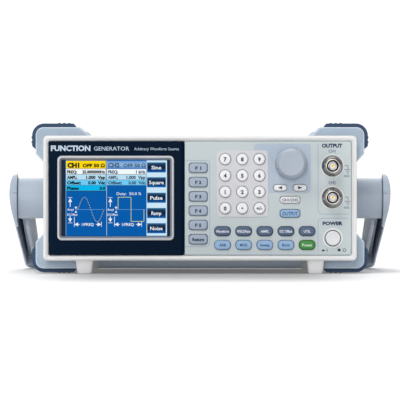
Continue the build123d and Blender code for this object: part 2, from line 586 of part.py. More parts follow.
def fan_impeller():
    """Hub cup with seven pitched blades and the spindle."""
    blades, blade_reach, hub_radius, hub_back = 7, 27.4, 10.0, FAN_BACK - 5.1
    hub = plate(disc(FAN_X, CENTRE_Z, hub_radius), FAN_FRONT + 0.6, hub_back)
    hub += plate(disc(FAN_X, CENTRE_Z, SPINDLE_RADIUS), hub_back, FAN_BACK - 1.0)
    middle = (FAN_FRONT + 0.6 + hub_back) / 2
    length = blade_reach - hub_radius + 1
    for index in range(blades):
        blade = Rot(0, index * 360 / blades, 0) * Pos(hub_radius - 1 + length / 2, 0, 0) \
            * Rot(35, 0, 0) * Box(length, 1.2, 11.0)
        hub += Pos(FAN_X, FRONT_Y + middle, CENTRE_Z) * blade
    return hub


INLET_BODY_HALF = 13.5


def mains_inlet():
    """Three-pin appliance inlet above a fuse pocket, with its pins as separate solids."""
    flange_back, body_front, mouth_floor = COVER_BACK + 3.0, 214.0, 225.0
    body = block(INLET_X - INLET_BODY_HALF, INLET_X + INLET_BODY_HALF, body_front, COVER_BACK,
                 INLET_Z - 16.0, INLET_Z + 16.0)
    body += plate(rounded(INLET_X - 16.0, INLET_X + 16.0, INLET_Z - 18.5, INLET_Z + 18.5, 2.0),
                  COVER_BACK, flange_back)
    mouth_z, mouth_half, mouth_rise, cut = INLET_Z + 5.0, 12.1, 8.0, 4.0
    mouth = polygon([(INLET_X - mouth_half, mouth_z - mouth_rise),
                     (INLET_X + mouth_half, mouth_z - mouth_rise),
                     (INLET_X + mouth_half, mouth_z + mouth_rise - cut),
                     (INLET_X + mouth_half - cut, mouth_z + mouth_rise),
                     (INLET_X - mouth_half + cut, mouth_z + mouth_rise),
                     (INLET_X - mouth_half, mouth_z + mouth_rise - cut)])
    body -= plate(mouth, mouth_floor, flange_back)
    body -= block(INLET_X - FUSE_HALF - 0.15, INLET_X + FUSE_HALF + 0.15, 218.0, flange_back,
                  FUSE_Z - 4.15, FUSE_Z + 4.15)
    pins = []
    for dx, dz in ((-7.0, -1.5), (0.0, 2.5), (7.0, -1.5)):
        pin = block(INLET_X + dx - 1.0, INLET_X + dx + 1.0, 210.0, flange_back - 2.0,
                    mouth_z + dz - 2.0, mouth_z + dz + 2.0)
        body -= block(INLET_X + dx - 1.0, INLET_X + dx + 1.0, 210.0, mouth_floor,
                      mouth_z + dz - 2.0, mouth_z + dz + 2.0)
        pins.append(pin)
    return [body] + pins


FUSE_HALF, FUSE_Z = 10.0, INLET_Z - 11.5


def fuse_drawer():
    """Sliding fuse carrier with a finger lip."""
    tray = block(INLET_X - FUSE_HALF, INLET_X + FUSE_HALF, 220.0, COVER_BACK + 3.2,
                 FUSE_Z - 4.0, FUSE_Z + 4.0)
    tray -= block(INLET_X - FUSE_HALF + 1.5, INLET_X + FUSE_HALF - 1.5, 222.0, COVER_BACK - 2.0,
                  FUSE_Z - 2.6, FUSE_Z + 4.0)
    lip = block(INLET_X - FUSE_HALF, INLET_X + FUSE_HALF, COVER_BACK + 3.2, COVER_BACK + 4.4,
                FUSE_Z - 4.6, FUSE_Z + 4.6)
    return tray + lip


def usb_sizes():
    """Host and device ports as (x, width, height)."""
    return [(USB_HOST_X, 14.4, 7.0), (USB_DEVICE_X, 12.0, 10.9)]


def usb_ports():
    """Metal shells with an insulating tongue inside."""
    pieces = []
    for x, width, height in usb_sizes():
        front, back, wall = 222.0, COVER_BACK + 0.8, 0.5
        shell = block(x - width / 2, x + width / 2, front, back, USB_Z - height / 2, USB_Z + height / 2)
        shell -= block(x - width / 2 + wall, x + width / 2 - wall, front + 3, back,
                       USB_Z - height / 2 + wall, USB_Z + height / 2 - wall)
        tongue_half_width, tongue_half_height = width / 2 - 2.2, height / 7
        tongue = block(x - tongue_half_width, x + tongue_half_width, front + 3, back - 1.5,
                       USB_Z - tongue_half_height, USB_Z + tongue_half_height)
        pieces += [shell, tongue]
    return pieces


def standoffs(x_places, depth_places, z0, z1):
    """Round pillars between the chassis floor and a board."""
    return [Pos(x, FRONT_Y + depth, (z0 + z1) / 2) * Cylinder(2.5, z1 - z0)
            for x in x_places for depth in depth_places]


FLOOR_Z = CENTRE_Z - COVER_HALF_HEIGHT + SHEET
BOARD_Z, BOARD_THICKNESS = FLOOR_Z + 7.0, 1.6


def main_board():
    """Signal board on pillars with chips, a shield can and a finned heat sink."""
    top = BOARD_Z + BOARD_THICKNESS
    board = block(-96.0, 14.0, 45.0, 205.0, BOARD_Z, top)
    chips = [block(x - half, x + half, depth - half, depth + half, top, top + 2.0)
             for x, depth, half in ((-70.0, 80.0, 10.0), (-35.0, 75.0, 7.0), (-8.0, 90.0, 8.0))]
    shield = block(-88.0, -48.0, 150.0, 190.0, top, top + 8.0)
    sink = block(-30.0, 6.0, 140.0, 180.0, top, top + 4.0)
    for index in range(7):
        x = -29.0 + index * 5.5
        sink += block(x, x + 1.4, 140.0, 180.0, top + 4.0, top + 22.0)
    return [board, shield, sink] + chips + standoffs((-90.0, 8.0), (52.0, 198.0), FLOOR_Z, BOARD_Z)


def power_supply():
    """Supply board on pillars with transformer, choke and capacitors."""
    top = BOARD_Z + BOARD_THICKNESS
    board = block(26.0, 98.0, 60.0, 205.0, BOARD_Z, top)
    core = block(44.0, 80.0, 100.0, 136.0, top, top + 30.0)
    winding = block(40.0, 84.0, 106.0, 130.0, top + 6.0, top + 24.0) - core
    capacitors = [Pos(x, FRONT_Y + depth, top + 14.0) * Cylinder(9.0, 28.0)
                  for x, depth in ((42.0, 164.0), (64.0, 164.0), (86.0, 164.0))]
    bridge = block(34.0, 56.0, 72.0, 78.0, top, top + 24.0)
    return ([board, core, bridge] + list(winding.solids()) + capacitors
            + standoffs((32.0, 92.0), (66.0, 198.0), FLOOR_Z, BOARD_Z))


def screw_y(x, z, face, length, head_radius=2.6, head=2.0):
    """Pan-head screw driven forward from a face that looks to the rear."""
    return (plate(disc(x, z, head_radius), face, face + head)
            + plate(disc(x, z, 1.5), face - length, face))


def screws():
    """Rear panel screws, guard screws and the two hub bolts inside the case."""
    pieces = [screw_y(x, z, COVER_BACK, 7.0) for x, z in rear_screw_places()]
    for _, back in GUARD_SPANS:
        pieces += [screw_y(*guard_screw_place(side, level), back - COUNTERBORE_DEPTH, 18.0)
                   for side, level in corners()]
    inner = COVER_HALF_WIDTH - SHEET
    for side in (-1, 1):
        head = bar_x(*sorted((side * (inner - 3.0), side * inner)), HUB_DEPTH, CENTRE_Z, 4.0)
        shank = bar_x(*sorted((side * inner, side * 118.0)), HUB_DEPTH, CENTRE_Z, 2.0)
        pieces.append(head + shank)
    return pieces


# ---------------------------------------------------------------- write every node
def main():
    """Build and write every node of the instrument."""
    os.makedirs("parts", exist_ok=True)
    front_sockets, rear_sockets = socket_positions()
    socket_args = [(x, z, PANEL_FRONT, 1) for x, z in front_sockets]
    socket_args += [(x, z, COVER_BACK, -1) for x, z in rear_sockets]
    guard_args = [(side, level, front, back) for side, level in corners()
                  for front, back in GUARD_SPANS]

    write("front_bezel", front_bezel())
    write("front_panel", front_panel())
    write("display_window", display_window())
    write("display_frame", display_frame())
    write("lcd_panel", lcd_panel())
    write("keypad_plate", keypad_plate())
    write("front_board", *front_board())
    write("power_button", power_button())
    write("encoder_knob", encoder_knob())
    write("encoder_shaft", encoder_shaft())
    write("bnc_shells", *[bnc_shell(*args) for args in socket_args])
    write("bnc_cores", *[piece for args in socket_args for piece in bnc_core(*args)])
    for name in KEYS:
        write(name, key(name))

    write("top_cover", top_cover())
    write("base_chassis", base_chassis())
    write("rear_panel", rear_panel())
    write("corner_guards", *[corner_guard(*args) for args in guard_args])
    write("guard_rubbers", *[guard_rubber(side, level, front + RUBBER_INSET, back - RUBBER_INSET)
                             for side, level, front, back in guard_args])
    front_feet = [foot(x, 2.0, 13.0, CENTRE_Z - BEZEL_HEIGHT / 2) for x in (-80.0, 80.0)]
    rear_feet = [foot(x, 205.0, 216.0, CENTRE_Z - COVER_HALF_HEIGHT) for x in (-80.0, 80.0)]
    write("feet", *front_feet, *rear_feet)
    write("pivot_hubs", pivot_hub(-1), pivot_hub(1))
    write("carry_handle", carry_handle())

    write("main_board", *main_board())
    write("power_supply", *power_supply())
    write("fan_frame", fan_frame())
    write("fan_impeller", fan_impeller())
    write("mains_inlet", *mains_inlet())
    write("fuse_drawer", fuse_drawer())
    write("usb_ports", *usb_ports())
    write("screws", *screws())


if __name__ == "__main__":
    main()
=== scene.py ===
"""Looks of a bench function generator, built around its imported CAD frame.

Shapes are worked out in millimetres as (x, depth, z): x to the viewer's right, depth behind the
crest of the front bezel, z above the bench. Casting turns them into metres in the shared frame.
Plates, boards and sockets that the frame draws well enough keep their mesh and get a finish.
"""

import logging
import math
from dataclasses import dataclass, field
from enum import Enum
from typing import Callable, Iterable, Optional, Sequence, Union

import bmesh
import bpy
import numpy as np
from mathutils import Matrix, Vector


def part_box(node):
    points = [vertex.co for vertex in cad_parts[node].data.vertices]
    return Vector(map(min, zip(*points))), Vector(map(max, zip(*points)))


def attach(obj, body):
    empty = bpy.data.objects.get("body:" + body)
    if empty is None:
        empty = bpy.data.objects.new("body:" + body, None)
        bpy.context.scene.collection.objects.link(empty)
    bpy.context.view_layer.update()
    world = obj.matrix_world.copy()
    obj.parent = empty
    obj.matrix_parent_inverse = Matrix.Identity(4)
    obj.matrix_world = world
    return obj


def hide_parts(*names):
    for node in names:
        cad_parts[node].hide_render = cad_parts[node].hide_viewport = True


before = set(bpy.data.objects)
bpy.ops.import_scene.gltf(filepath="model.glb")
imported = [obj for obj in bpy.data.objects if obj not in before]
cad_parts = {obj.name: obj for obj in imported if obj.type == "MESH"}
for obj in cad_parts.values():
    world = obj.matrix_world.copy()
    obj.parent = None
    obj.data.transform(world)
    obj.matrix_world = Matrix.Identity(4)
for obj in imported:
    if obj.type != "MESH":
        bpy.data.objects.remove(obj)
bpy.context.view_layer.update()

MM = 0.001
CREST_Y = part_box("front_bezel")[0].y / MM
PLATE_FACE, WINDOW_FACE = 1.6, 0.5
INK_PROUD, INK_BURIED = 0.05, 0.03
LOG = logging.getLogger("function_generator")

Colour = tuple[float, float, float]
Point = tuple[float, float]
Place = tuple[float, float, float, int]
Socket = bpy.types.NodeSocket
Surface = Union[float, Callable[[np.ndarray, np.ndarray], np.ndarray]]


def paint(red: float, green: float, blue: float) -> Colour:
    """Linear colour from display values of 0 to 255, by the sRGB curve."""
    return tuple(((value / 255 + 0.055) / 1.055) ** 2.4 if value > 10 else value / 255 / 12.92
                 for value in (red, green, blue))


@dataclass(frozen=True)
class Extent:
    """Box of a CAD node in millimetres, with depth counted from the bezel crest."""

    left: float
    right: float
    front: float
    back: float
    low: float
    high: float

    @classmethod
    def of(cls, node: str) -> "Extent":
        """Reads a node's box from the frame."""
        low, high = (np.array(corner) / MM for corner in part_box(node))
        return cls(low[0], high[0], low[1] - CREST_Y, high[1] - CREST_Y, low[2], high[2])

    @property
    def centre(self) -> Point:
        """Middle of the box as (x, z)."""
        return (self.left + self.right) / 2, (self.low + self.high) / 2


# ---------------------------------------------------------------- outlines and surfaces
def rounded_path(corners: Sequence[Point], radii: Union[float, Sequence[float]],
                 closed: bool = True, steps: int = 4) -> np.ndarray:
    """Polygon or open path whose corners are arcs tangent to both sides.

    Formula: where the path turns by t, an arc of radius r starts r tan(|t|/2) before the corner,
    is centred r to the side that the path turns to, and sweeps the angle t.

    Args:
        corners: points of the path.
        radii: one radius, or one for each corner (an open path's two ends have none).
        closed: whether the last point joins the first.
        steps: spans in each arc.

    Returns:
        Array of points, (N, 2).
    """
    points = np.asarray(corners, float)
    middle = points if closed else points[1:-1]
    before = middle - (np.roll(points, 1, 0) if closed else points[:-2])
    after = (np.roll(points, -1, 0) if closed else points[2:]) - middle
    before /= np.linalg.norm(before, axis=1, keepdims=True)
    after /= np.linalg.norm(after, axis=1, keepdims=True)
    cross = before[:, 0] * after[:, 1] - before[:, 1] * after[:, 0]
    turn = np.arctan2(cross, (before * after).sum(1))
    radius = np.broadcast_to(np.asarray(radii, float), turn.shape)
    side = np.where(turn < 0, -1.0, 1.0)[:, None] * np.column_stack([-before[:, 1], before[:, 0]])
    start = middle - before * (radius * np.tan(np.abs(turn) / 2))[:, None]
    centre = start + side * radius[:, None]
    angle = np.arctan2(-side[:, 1], -side[:, 0])[:, None] + turn[:, None] * np.linspace(0, 1, steps + 1)
    arcs = centre[:, None] + radius[:, None, None] * np.stack([np.cos(angle), np.sin(angle)], -1)
    arcs = arcs.reshape(-1, 2)
    return arcs if closed else np.vstack([points[:1], arcs, points[-1:]])


def rounded_box(centre: Point, width: float, height: float, radius: float,
                steps: int = 6) -> np.ndarray:
    """Anticlockwise rounded rectangle, (N, 2)."""
    x, z = centre
    across, up = width / 2, height / 2
    corners = [(x - across, z - up), (x + across, z - up), (x + across, z + up), (x - across, z + up)]
    return rounded_path(corners, min(radius, across - 0.01, up - 0.01), steps=steps)


def circle(centre: Point, radius: float, sides: int) -> np.ndarray:
    """Anticlockwise circle, (N, 2)."""
    angle = np.linspace(0, 2 * np.pi, sides, endpoint=False)
    return radius * np.column_stack([np.cos(angle), np.sin(angle)]) + centre


def densify(loop: np.ndarray, spacing: float) -> np.ndarray:
    """Closed loop with extra points on its sides, at most a spacing apart along its length."""
    ring = np.vstack([loop, loop[:1]])
    travel = np.concatenate([[0], np.cumsum(np.linalg.norm(np.diff(ring, axis=0), axis=1))])
    extra = np.linspace(0, travel[-1], int(travel[-1] / spacing) + 1)[:-1]
    places = np.unique(np.round(np.concatenate([travel[:-1], extra]), 4))
    return np.column_stack([np.interp(places, travel, ring[:, axis]) for axis in (0, 1)])


def inset(loop: np.ndarray, distance: float) -> np.ndarray:
    """Closed anticlockwise loop moved inwards.

    Formula: each point moves along the sum of its two sides' inward normals, divided by one plus
    their dot product, so that both sides move by the distance.
    """
    side = np.roll(loop, -1, 0) - loop
    side /= np.maximum(np.linalg.norm(side, axis=1, keepdims=True), 1e-9)
    after = np.column_stack([-side[:, 1], side[:, 0]])
    before = np.roll(after, 1, 0)
    share = 1 + (before * after).sum(1, keepdims=True)
    return loop + distance * (before + after) / np.maximum(share, 0.3)


def at_depth(loop: np.ndarray, depth: Union[float, np.ndarray]) -> np.ndarray:
    """Loop of (x, z) placed at a depth, (N, 3)."""
    return np.column_stack([loop[:, 0], np.broadcast_to(depth, len(loop)), loop[:, 1]])


class Axis(Enum):
    """Direction that a turned shape's axis takes."""

    DEPTH = "depth"
    ACROSS = "across"


def turned(profile: np.ndarray, centre: Point, axis: Axis = Axis.DEPTH, sides: int = 48) -> np.ndarray:
    """Surface of revolution.

    Formula: each profile point (radius, distance) becomes a circle of that radius about the
    centre, placed at that distance along the axis.

    Args:
        profile: (K, 2) radii and distances along the axis.
        centre: (x, z) of a depth axis, or (depth, z) of an axis across the instrument.
        axis: which way the axis points.
        sides: points round each circle.

    Returns:
        Grid of points, (K, sides, 3).
    """
    angle = np.linspace(0, 2 * np.pi, sides, endpoint=False)
    first = centre[0] + profile[:, :1] * np.cos(angle)
    up = centre[1] + profile[:, :1] * np.sin(angle)
    along = np.broadcast_to(profile[:, 1:], first.shape)
    order = (first, along, up) if axis is Axis.DEPTH else (along, first, up)
    return np.stack(order, -1)


def smooth_step(value: np.ndarray) -> np.ndarray:
    """Eases from 0 to 1 by 3v^2 - 2v^3."""
    value = np.clip(value, 0, 1)
    return value * value * (3 - 2 * value)


# ---------------------------------------------------------------- lettering
class Lettering:
    """Cuts generic words from the built-in typeface as closed slabs of unit thickness."""

    _cut: dict[tuple[str, float], tuple[np.ndarray, list[list[int]]]] = {}

    @classmethod
    def cut(cls, words: str, weight: float = 0.0) -> tuple[np.ndarray, list[list[int]]]:
        """Points (x, y, 0 or 1) with a capital letter one unit tall, and faces.

        Args:
            words: what to write.
            weight: how far the outline is swollen, in parts of the type size.

        Returns:
            Welded points and their faces.
        """
        key = (words, weight)
        if key not in cls._cut:
            points, faces = cls._raw(words, weight)
            tall = 1.0 if words == "H" else np.ptp(cls._raw("H", weight)[0][:, 1])
            points[:, :2] /= tall
            cls._cut[key] = (points, faces)
        return cls._cut[key]

    @staticmethod
    def _raw(words: str, weight: float) -> tuple[np.ndarray, list[list[int]]]:
        """Text curve made a mesh, with doubled points welded."""
        curve = bpy.data.curves.new("letters", "FONT")
        curve.body, curve.extrude, curve.offset, curve.resolution_u = words, 0.5, weight, 2
        holder = bpy.data.objects.new("letters", curve)
        mesh = bpy.data.meshes.new_from_object(holder)
        points = np.empty(len(mesh.vertices) * 3)
        mesh.vertices.foreach_get("co", points)
        points = points.reshape(-1, 3) + (0, 0, 0.5)
        faces = [list(polygon.vertices) for polygon in mesh.polygons]
        bpy.data.objects.remove(holder)
        bpy.data.curves.remove(curve)
        bpy.data.meshes.remove(mesh)
        welded, place = np.unique(np.round(points, 5), axis=0, return_inverse=True)
        place = place.ravel()
        faces = [list(dict.fromkeys(int(place[corner]) for corner in face)) for face in faces]
        return welded, [face for face in faces if len(face) > 2]


# ---------------------------------------------------------------- mesh writer
class Casting:
    """Gathers closed surfaces, in millimetres as (x, depth, z), into one piece."""

    def __init__(self) -> None:
        """Starts empty."""
        self._points: list[np.ndarray] = []
        self._faces: list[list[int]] = []
        self._finish: list[int] = []
        self._tints: list[np.ndarray] = []
        self._count = 0

    def add(self, points: np.ndarray, faces: list[list[int]], finish: Union[int, list[int]] = 0,
            tint: Union[Colour, np.ndarray] = (1, 1, 1)) -> None:
        """Adds points and faces.

        Args:
            points: (N, 3) points.
            faces: index lists into those points.
            finish: which of the piece's finishes they take, or one for each face.
            tint: one colour, or one for each point.
        """
        self._points.append(points)
        self._faces += [[index + self._count for index in face] for face in faces]
        self._finish += finish if isinstance(finish, list) else [finish] * len(faces)
        self._tints.append(np.broadcast_to(np.asarray(tint, float), (len(points), 3)))
        self._count += len(points)

    def grid(self, rings: Union[np.ndarray, Sequence[np.ndarray]], looped: bool = False,
             finish: Union[int, np.ndarray] = 0, tint: Union[Colour, np.ndarray] = (1, 1, 1)) -> None:
        """Adds a stack of closed rings.

        Args:
            rings: (K, N, 3) rings in order.
            looped: whether the last ring joins the first; if not, both ends are capped.
            finish: which of the piece's finishes it takes, or one for each band between rings.
            tint: one colour, or one for each point.
        """
        rings = np.asarray(rings)
        rows, columns = rings.shape[:2]
        index = np.arange(rows * columns).reshape(rows, columns)
        lower = index if looped else index[:-1]
        upper = np.roll(index, -1, 0) if looped else index[1:]
        quads = np.stack([lower, np.roll(lower, -1, 1), np.roll(upper, -1, 1), upper], -1)
        faces = quads.reshape(-1, 4).tolist()
        bands = np.broadcast_to(finish, len(quads))
        finishes = np.repeat(bands, columns).tolist()
        if not looped:
            faces += [index[0, ::-1].tolist(), index[-1].tolist()]
            finishes += [int(bands[0]), int(bands[-1])]
        self.add(rings.reshape(-1, 3), faces, finishes, tint)

    def slab(self, loop: np.ndarray, front: float, back: float, finish: int = 0,
             tint: Colour = (1, 1, 1)) -> None:
        """Adds a flat plate of an outline between two depths."""
        self.grid([at_depth(loop, back), at_depth(loop, front)], finish=finish, tint=tint)

    def stroke(self, path: np.ndarray, width: float, depth: float, closed: bool = False,
               finish: int = 0, tint: Colour = (1, 1, 1)) -> None:
        """Adds a printed line.

        Formula: the path's left and right edges are half a width along its normals, and the
        section is a flat box from just above the surface to just under it.

        Args:
            path: (N, 2) points in x and z.
            width: line width.
            depth: depth of the printed surface.
            closed: whether the line ends where it starts.
            finish: which of the piece's finishes it takes.
            tint: ink colour.
        """
        ahead = np.roll(path, -1, 0) - path if closed else np.gradient(path, axis=0)
        if closed:
            ahead = ahead + (path - np.roll(path, 1, 0))
        normal = np.column_stack([-ahead[:, 1], ahead[:, 0]])
        normal *= width / 2 / np.linalg.norm(normal, axis=1, keepdims=True)
        over, under = depth - INK_PROUD, depth + INK_BURIED
        rings = np.stack([at_depth(path + normal, over), at_depth(path - normal, over),
                          at_depth(path - normal, under), at_depth(path + normal, under)], 1)
        self.grid(rings, looped=closed, finish=finish, tint=tint)

    def letters(self, words: str, place: Point, height: float, depth: Surface,
                width: Optional[float] = None, anchor: float = 0.5, weight: float = 0.0,
                tint: Colour = (1, 1, 1), finish: int = 0, facing: int = 1,
                proud: float = INK_PROUD) -> None:
        """Adds words whose points follow a surface.

        Args:
            words: what to write.
            place: x of the anchor and z of the middle of the capital letters.
            height: height of the capital letters.
            depth: depth of the surface, or a function of x and z that gives it.
            width: width to stretch the words to.
            anchor: 0 for the left end at the place, 0.5 for the middle, 1 for the right end.
            weight: swelling of the letters, in parts of the type size.
            tint: ink colour.
            finish: which of the piece's finishes they take.
            facing: 1 on a surface that faces the front, -1 on one that faces the rear.
            proud: how far the ink stands off.
        """
        points, faces = Lettering.cut(words, weight)
        left, span = points[:, 0].min(), np.ptp(points[:, 0])
        stretch = width / span if width else height
        x = place[0] + facing * stretch * (points[:, 0] - left - anchor * span)
        z = place[1] + height * (points[:, 1] - 0.5)
        ground = depth(x, z) if callable(depth) else np.full(len(x), float(depth))
        off = points[:, 2] * (proud + INK_BURIED) - INK_BURIED
        self.add(np.column_stack([x, ground - facing * off, z]), faces, finish, tint)

    def make(self, name: str, finishes: Sequence["Finish"], body: str, slot: str,
             replaces: Iterable[str] = (), sharp: float = 32.0) -> bpy.types.Object:
        """Writes the mesh, dresses it and hangs it on its body.

        Args:
            name: piece name.
            finishes: finishes in the order that the surfaces' numbers name them.
            body: CAD body that it rides on.
            slot: record's material slot; not used.
            replaces: CAD nodes that it stands for.
            sharp: edges sharper than this many degrees stay crisp.

        Returns:
            The new object.
        """
        points = (np.concatenate(self._points) + (0, CREST_Y, 0)) * MM
        mesh = bpy.data.meshes.new(name)
        mesh.from_pydata(points.tolist(), [], self._faces)
        mesh.polygons.foreach_set("material_index", self._finish)
        work = bmesh.new()
        work.from_mesh(mesh)
        bmesh.ops.recalc_face_normals(work, faces=work.faces)
        work.to_mesh(mesh)
        work.free()
        tints = mesh.color_attributes.new("tint", "FLOAT_COLOR", "POINT")
        colours = np.column_stack([np.concatenate(self._tints), np.ones(self._count)])
        tints.data.foreach_set("color", colours.ravel())
        mesh.shade_smooth()
        mesh.set_sharp_from_angle(angle=math.radians(sharp))
        for finish in finishes:
            mesh.materials.append(finish.material())
        piece = bpy.data.objects.new(name, mesh)
        bpy.context.scene.collection.objects.link(piece)
        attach(piece, body)
        if replaces:
            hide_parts(*replaces)
        LOG.info("%s: %d points, %d faces, on %s", name, self._count, len(self._faces), body)
        return piece


# ---------------------------------------------------------------- finishes
class Graph:
    """Short hand for a material's node tree."""

    def __init__(self, name: str) -> None:
        """Makes a material that holds one Principled shader."""
        self.material = bpy.data.materials.new(name)
        self.material.use_nodes = True
        self.tree = self.material.node_tree
        self.shader = self.tree.nodes["Principled BSDF"]
        self.place = self.tree.nodes.new("ShaderNodeTexCoord").outputs["Object"]

    def set(self, **values: Union[float, Colour]) -> None:
        """Sets the shader's own sockets; an underscore stands for a space."""
        for name, value in values.items():
            socket = self.shader.inputs[name.replace("_", " ")]
            socket.default_value = (*value, 1) if isinstance(value, tuple) else value

    def feed(self, name: str, output: Socket) -> None:
        """Links an output to one of the shader's sockets."""
        self.tree.links.new(output, self.shader.inputs[name])

    def join(self, kind: str, inputs: dict[Union[int, str], object], output: Union[int, str] = 0,
             **settings: object) -> Socket:
        """Adds a node.

        Args:
            kind: node type without its ShaderNode prefix.
            inputs: sockets to link, or values to set, by name or number.
            output: which output to return.
            settings: the node's own properties.

        Returns:
            The chosen output socket.
        """
        node = self.tree.nodes.new("ShaderNode" + kind)
        for name, value in settings.items():
            setattr(node, name, value)
        for name, value in inputs.items():
            if isinstance(value, Socket):
                self.tree.links.new(value, node.inputs[name])
            else:
                node.inputs[name].default_value = value
        return node.outputs[output]

    def noise(self, scale: float, detail: float = 2.0, stretch: Colour = (1, 1, 1)) -> Socket:
        """Noise of so many cells in a metre, stretched along the axes."""
        place = self.join("Mapping", {"Vector": self.place, "Scale": stretch})
        return self.join("TexNoise", {"Vector": place, "Scale": scale, "Detail": detail}, "Fac")

    def spread(self, value: Socket, low: float, high: float, start: float = 0.3,
               stop: float = 0.7) -> Socket:
        """Maps a value's middle range to low and high."""
        return self.join("MapRange", {"Value": value, "From Min": start, "From Max": stop,
                                      "To Min": low, "To Max": high}, "Result")

    def blend(self, share: Socket, first: object, second: object) -> Socket:
        """Mixes two colours, each a socket or a linear colour."""
        colours = [value if isinstance(value, Socket) else (*value, 1)
                   for value in (first, second)]
        return self.join("Mix", {0: share, 6: colours[0], 7: colours[1]}, 2, data_type="RGBA")

    def times(self, first: Socket, second: Socket) -> Socket:
        """Multiplies two colours."""
        return self.join("Mix", {0: 1.0, 6: first, 7: second}, 2, data_type="RGBA",
                         blend_type="MULTIPLY")

    def reach(self, axes: Point, middle: Point, half: Point, fade: Point = (1, 1)) -> Socket:
        """Distance outside a rectangle in the plane of two axes.

        Formula: the length of what each coordinate, counted from the middle without its sign,
        exceeds the half size by, each excess divided by its fade.
        """
        parts = self.join("SeparateXYZ", {0: self.place}, 0).node
        excess = []
        for axis, centre, size, width in zip(axes, middle, half, fade):
            off = self.join("Math", {0: parts.outputs[axis], 1: centre}, operation="SUBTRACT")
            far = self.join("Math", {0: off}, operation="ABSOLUTE")
            over = self.join("Math", {0: far, 1: size}, operation="SUBTRACT")
            kept = self.join("Math", {0: over, 1: 0.0}, operation="MAXIMUM")
            excess.append(self.join("Math", {0: kept, 1: width}, operation="DIVIDE"))
        both = self.join("CombineXYZ", {0: excess[0], 1: excess[1]})
        return self.join("VectorMath", {0: both}, "Value", operation="LENGTH")

    def bump(self, height: Socket, strength: float, distance: float) -> None:
        """Feeds a height into the shader's normal."""
        normal = self.join("Bump", {"Height": height, "Strength": strength, "Distance": distance}, "Normal")
        self.feed("Normal", normal)


def shaded(colour: Colour, factor: float) -> Colour:
    """A colour made lighter or darker by a factor."""
    return tuple(min(1.0, channel * factor) for channel in colour)


@dataclass(frozen=True)
class Finish:
    """Moulded plastic, rubber, paint or plate: uneven colour, grain and gloss.

    Attributes:
        name: finish name.
        colour: linear colour.
        rough: mean roughness.
        grain: grain cells in a metre.
        depth: grain depth in metres.
        mottle: how far the colour wanders over a few centimetres.
        speckle: how far it wanders from grain to grain.
        metal: metallic share.
        specular: specular level.
        stretch: grain stretch along x, y and z.
    """

    name: str
    colour: Colour
    rough: float = 0.45
    grain: float = 1500.0
    depth: float = 0.00003
    mottle: float = 0.03
    speckle: float = 0.02
    metal: float = 0.0
    specular: float = 0.5
    stretch: Colour = (1, 1, 1)

    def material(self) -> bpy.types.Material:
        """The finish's material, made once."""
        label = self.name + "_finish"
        return bpy.data.materials.get(label) or self._made(label)

    def _made(self, label: str) -> bpy.types.Material:
        """Builds the node tree."""
        graph = Graph(label)
        fine = graph.noise(self.grain, 3.0, self.stretch)
        broad = graph.noise(38.0, 4.0)
        graph.feed("Base Color", self._colour(graph, fine, broad))
        graph.feed("Roughness", graph.spread(broad, self.rough - 0.05, self.rough + 0.06))
        graph.bump(fine, 0.6, self.depth)
        graph.set(Metallic=self.metal, Specular_IOR_Level=self.specular)
        return graph.material

    def _colour(self, graph: Graph, fine: Socket,
                broad: Socket) -> Socket:
        """Colour that wanders slowly, with a speckle from grain to grain."""
        slow = graph.blend(graph.spread(broad, 0, 1), shaded(self.colour, 1 - self.mottle),
                           shaded(self.colour, 1 + self.mottle))
        dark = graph.spread(fine, 1 - 2 * self.speckle, 1.0)
        return graph.times(slow, dark)


@dataclass(frozen=True)
class TintedInk(Finish):
    """Screen-printed ink or moulding whose colour is the mesh's own tint."""

    def _colour(self, graph: Graph, fine: Socket,
                broad: Socket) -> Socket:
        """Tint from the mesh, worn a little by the grain."""
        tint = graph.join("Attribute", {}, "Color", attribute_name="tint")
        dark = graph.spread(fine, 1 - 2 * self.speckle, 1.0)
        return graph.times(tint, dark)


@dataclass(frozen=True)
class ScreenGlow(Finish):
    """Lit screen: the tint glows through a fine grid of picture cells."""

    cell: float = 0.000219
    glow: float = 1.0

    def _made(self, label: str) -> bpy.types.Material:
        """Builds the node tree."""
        graph = Graph(label)
        tint = graph.join("Attribute", {}, "Color", attribute_name="tint")
        parts = graph.join("SeparateXYZ", {0: graph.place}, 0).node
        turns = [graph.join("Math", {0: parts.outputs[axis], 1: math.tau / self.cell},
                            operation="MULTIPLY") for axis in (0, 2)]
        waves = [graph.join("Math", {0: turn}, operation="SINE") for turn in turns]
        tall = graph.join("Math", {0: waves[0], 1: waves[1]}, operation="MAXIMUM")
        grid = graph.spread(tall, 1.0, 0.9, 0.6, 1.0)
        graph.feed("Emission Color", graph.times(tint, grid))
        graph.set(Base_Color=(0.001, 0.002, 0.003), Emission_Strength=self.glow,
                  Roughness=self.rough, Specular_IOR_Level=self.specular)
        return graph.material


@dataclass(frozen=True)
class Overlay(Finish):
    """Key overlay plate with a printed field round the turning knob.

    Attributes:
        field_colour: colour of the printed field.
        middle: x and z of the field's middle, in metres.
        half: half sizes of the field less its corner radius, in metres.
        corner: its corner radius, in metres.
    """

    field_colour: Colour = (0, 0, 0)
    middle: Point = (0, 0)
    half: Point = (0, 0)
    corner: float = 0.0

    def _colour(self, graph: Graph, fine: Socket,
                broad: Socket) -> Socket:
        """Plate colour, and the field's where the reach is under the corner radius."""
        plate = Finish._colour(self, graph, fine, broad)
        reach = graph.reach((0, 2), self.middle, self.half)
        edge = 0.00006
        inside = graph.spread(reach, 1, 0, self.corner - edge, self.corner + edge)
        field_tone = graph.blend(graph.spread(broad, 0, 1), shaded(self.field_colour, 0.97),
                                 shaded(self.field_colour, 1.03))
        return graph.blend(inside, plate, field_tone)


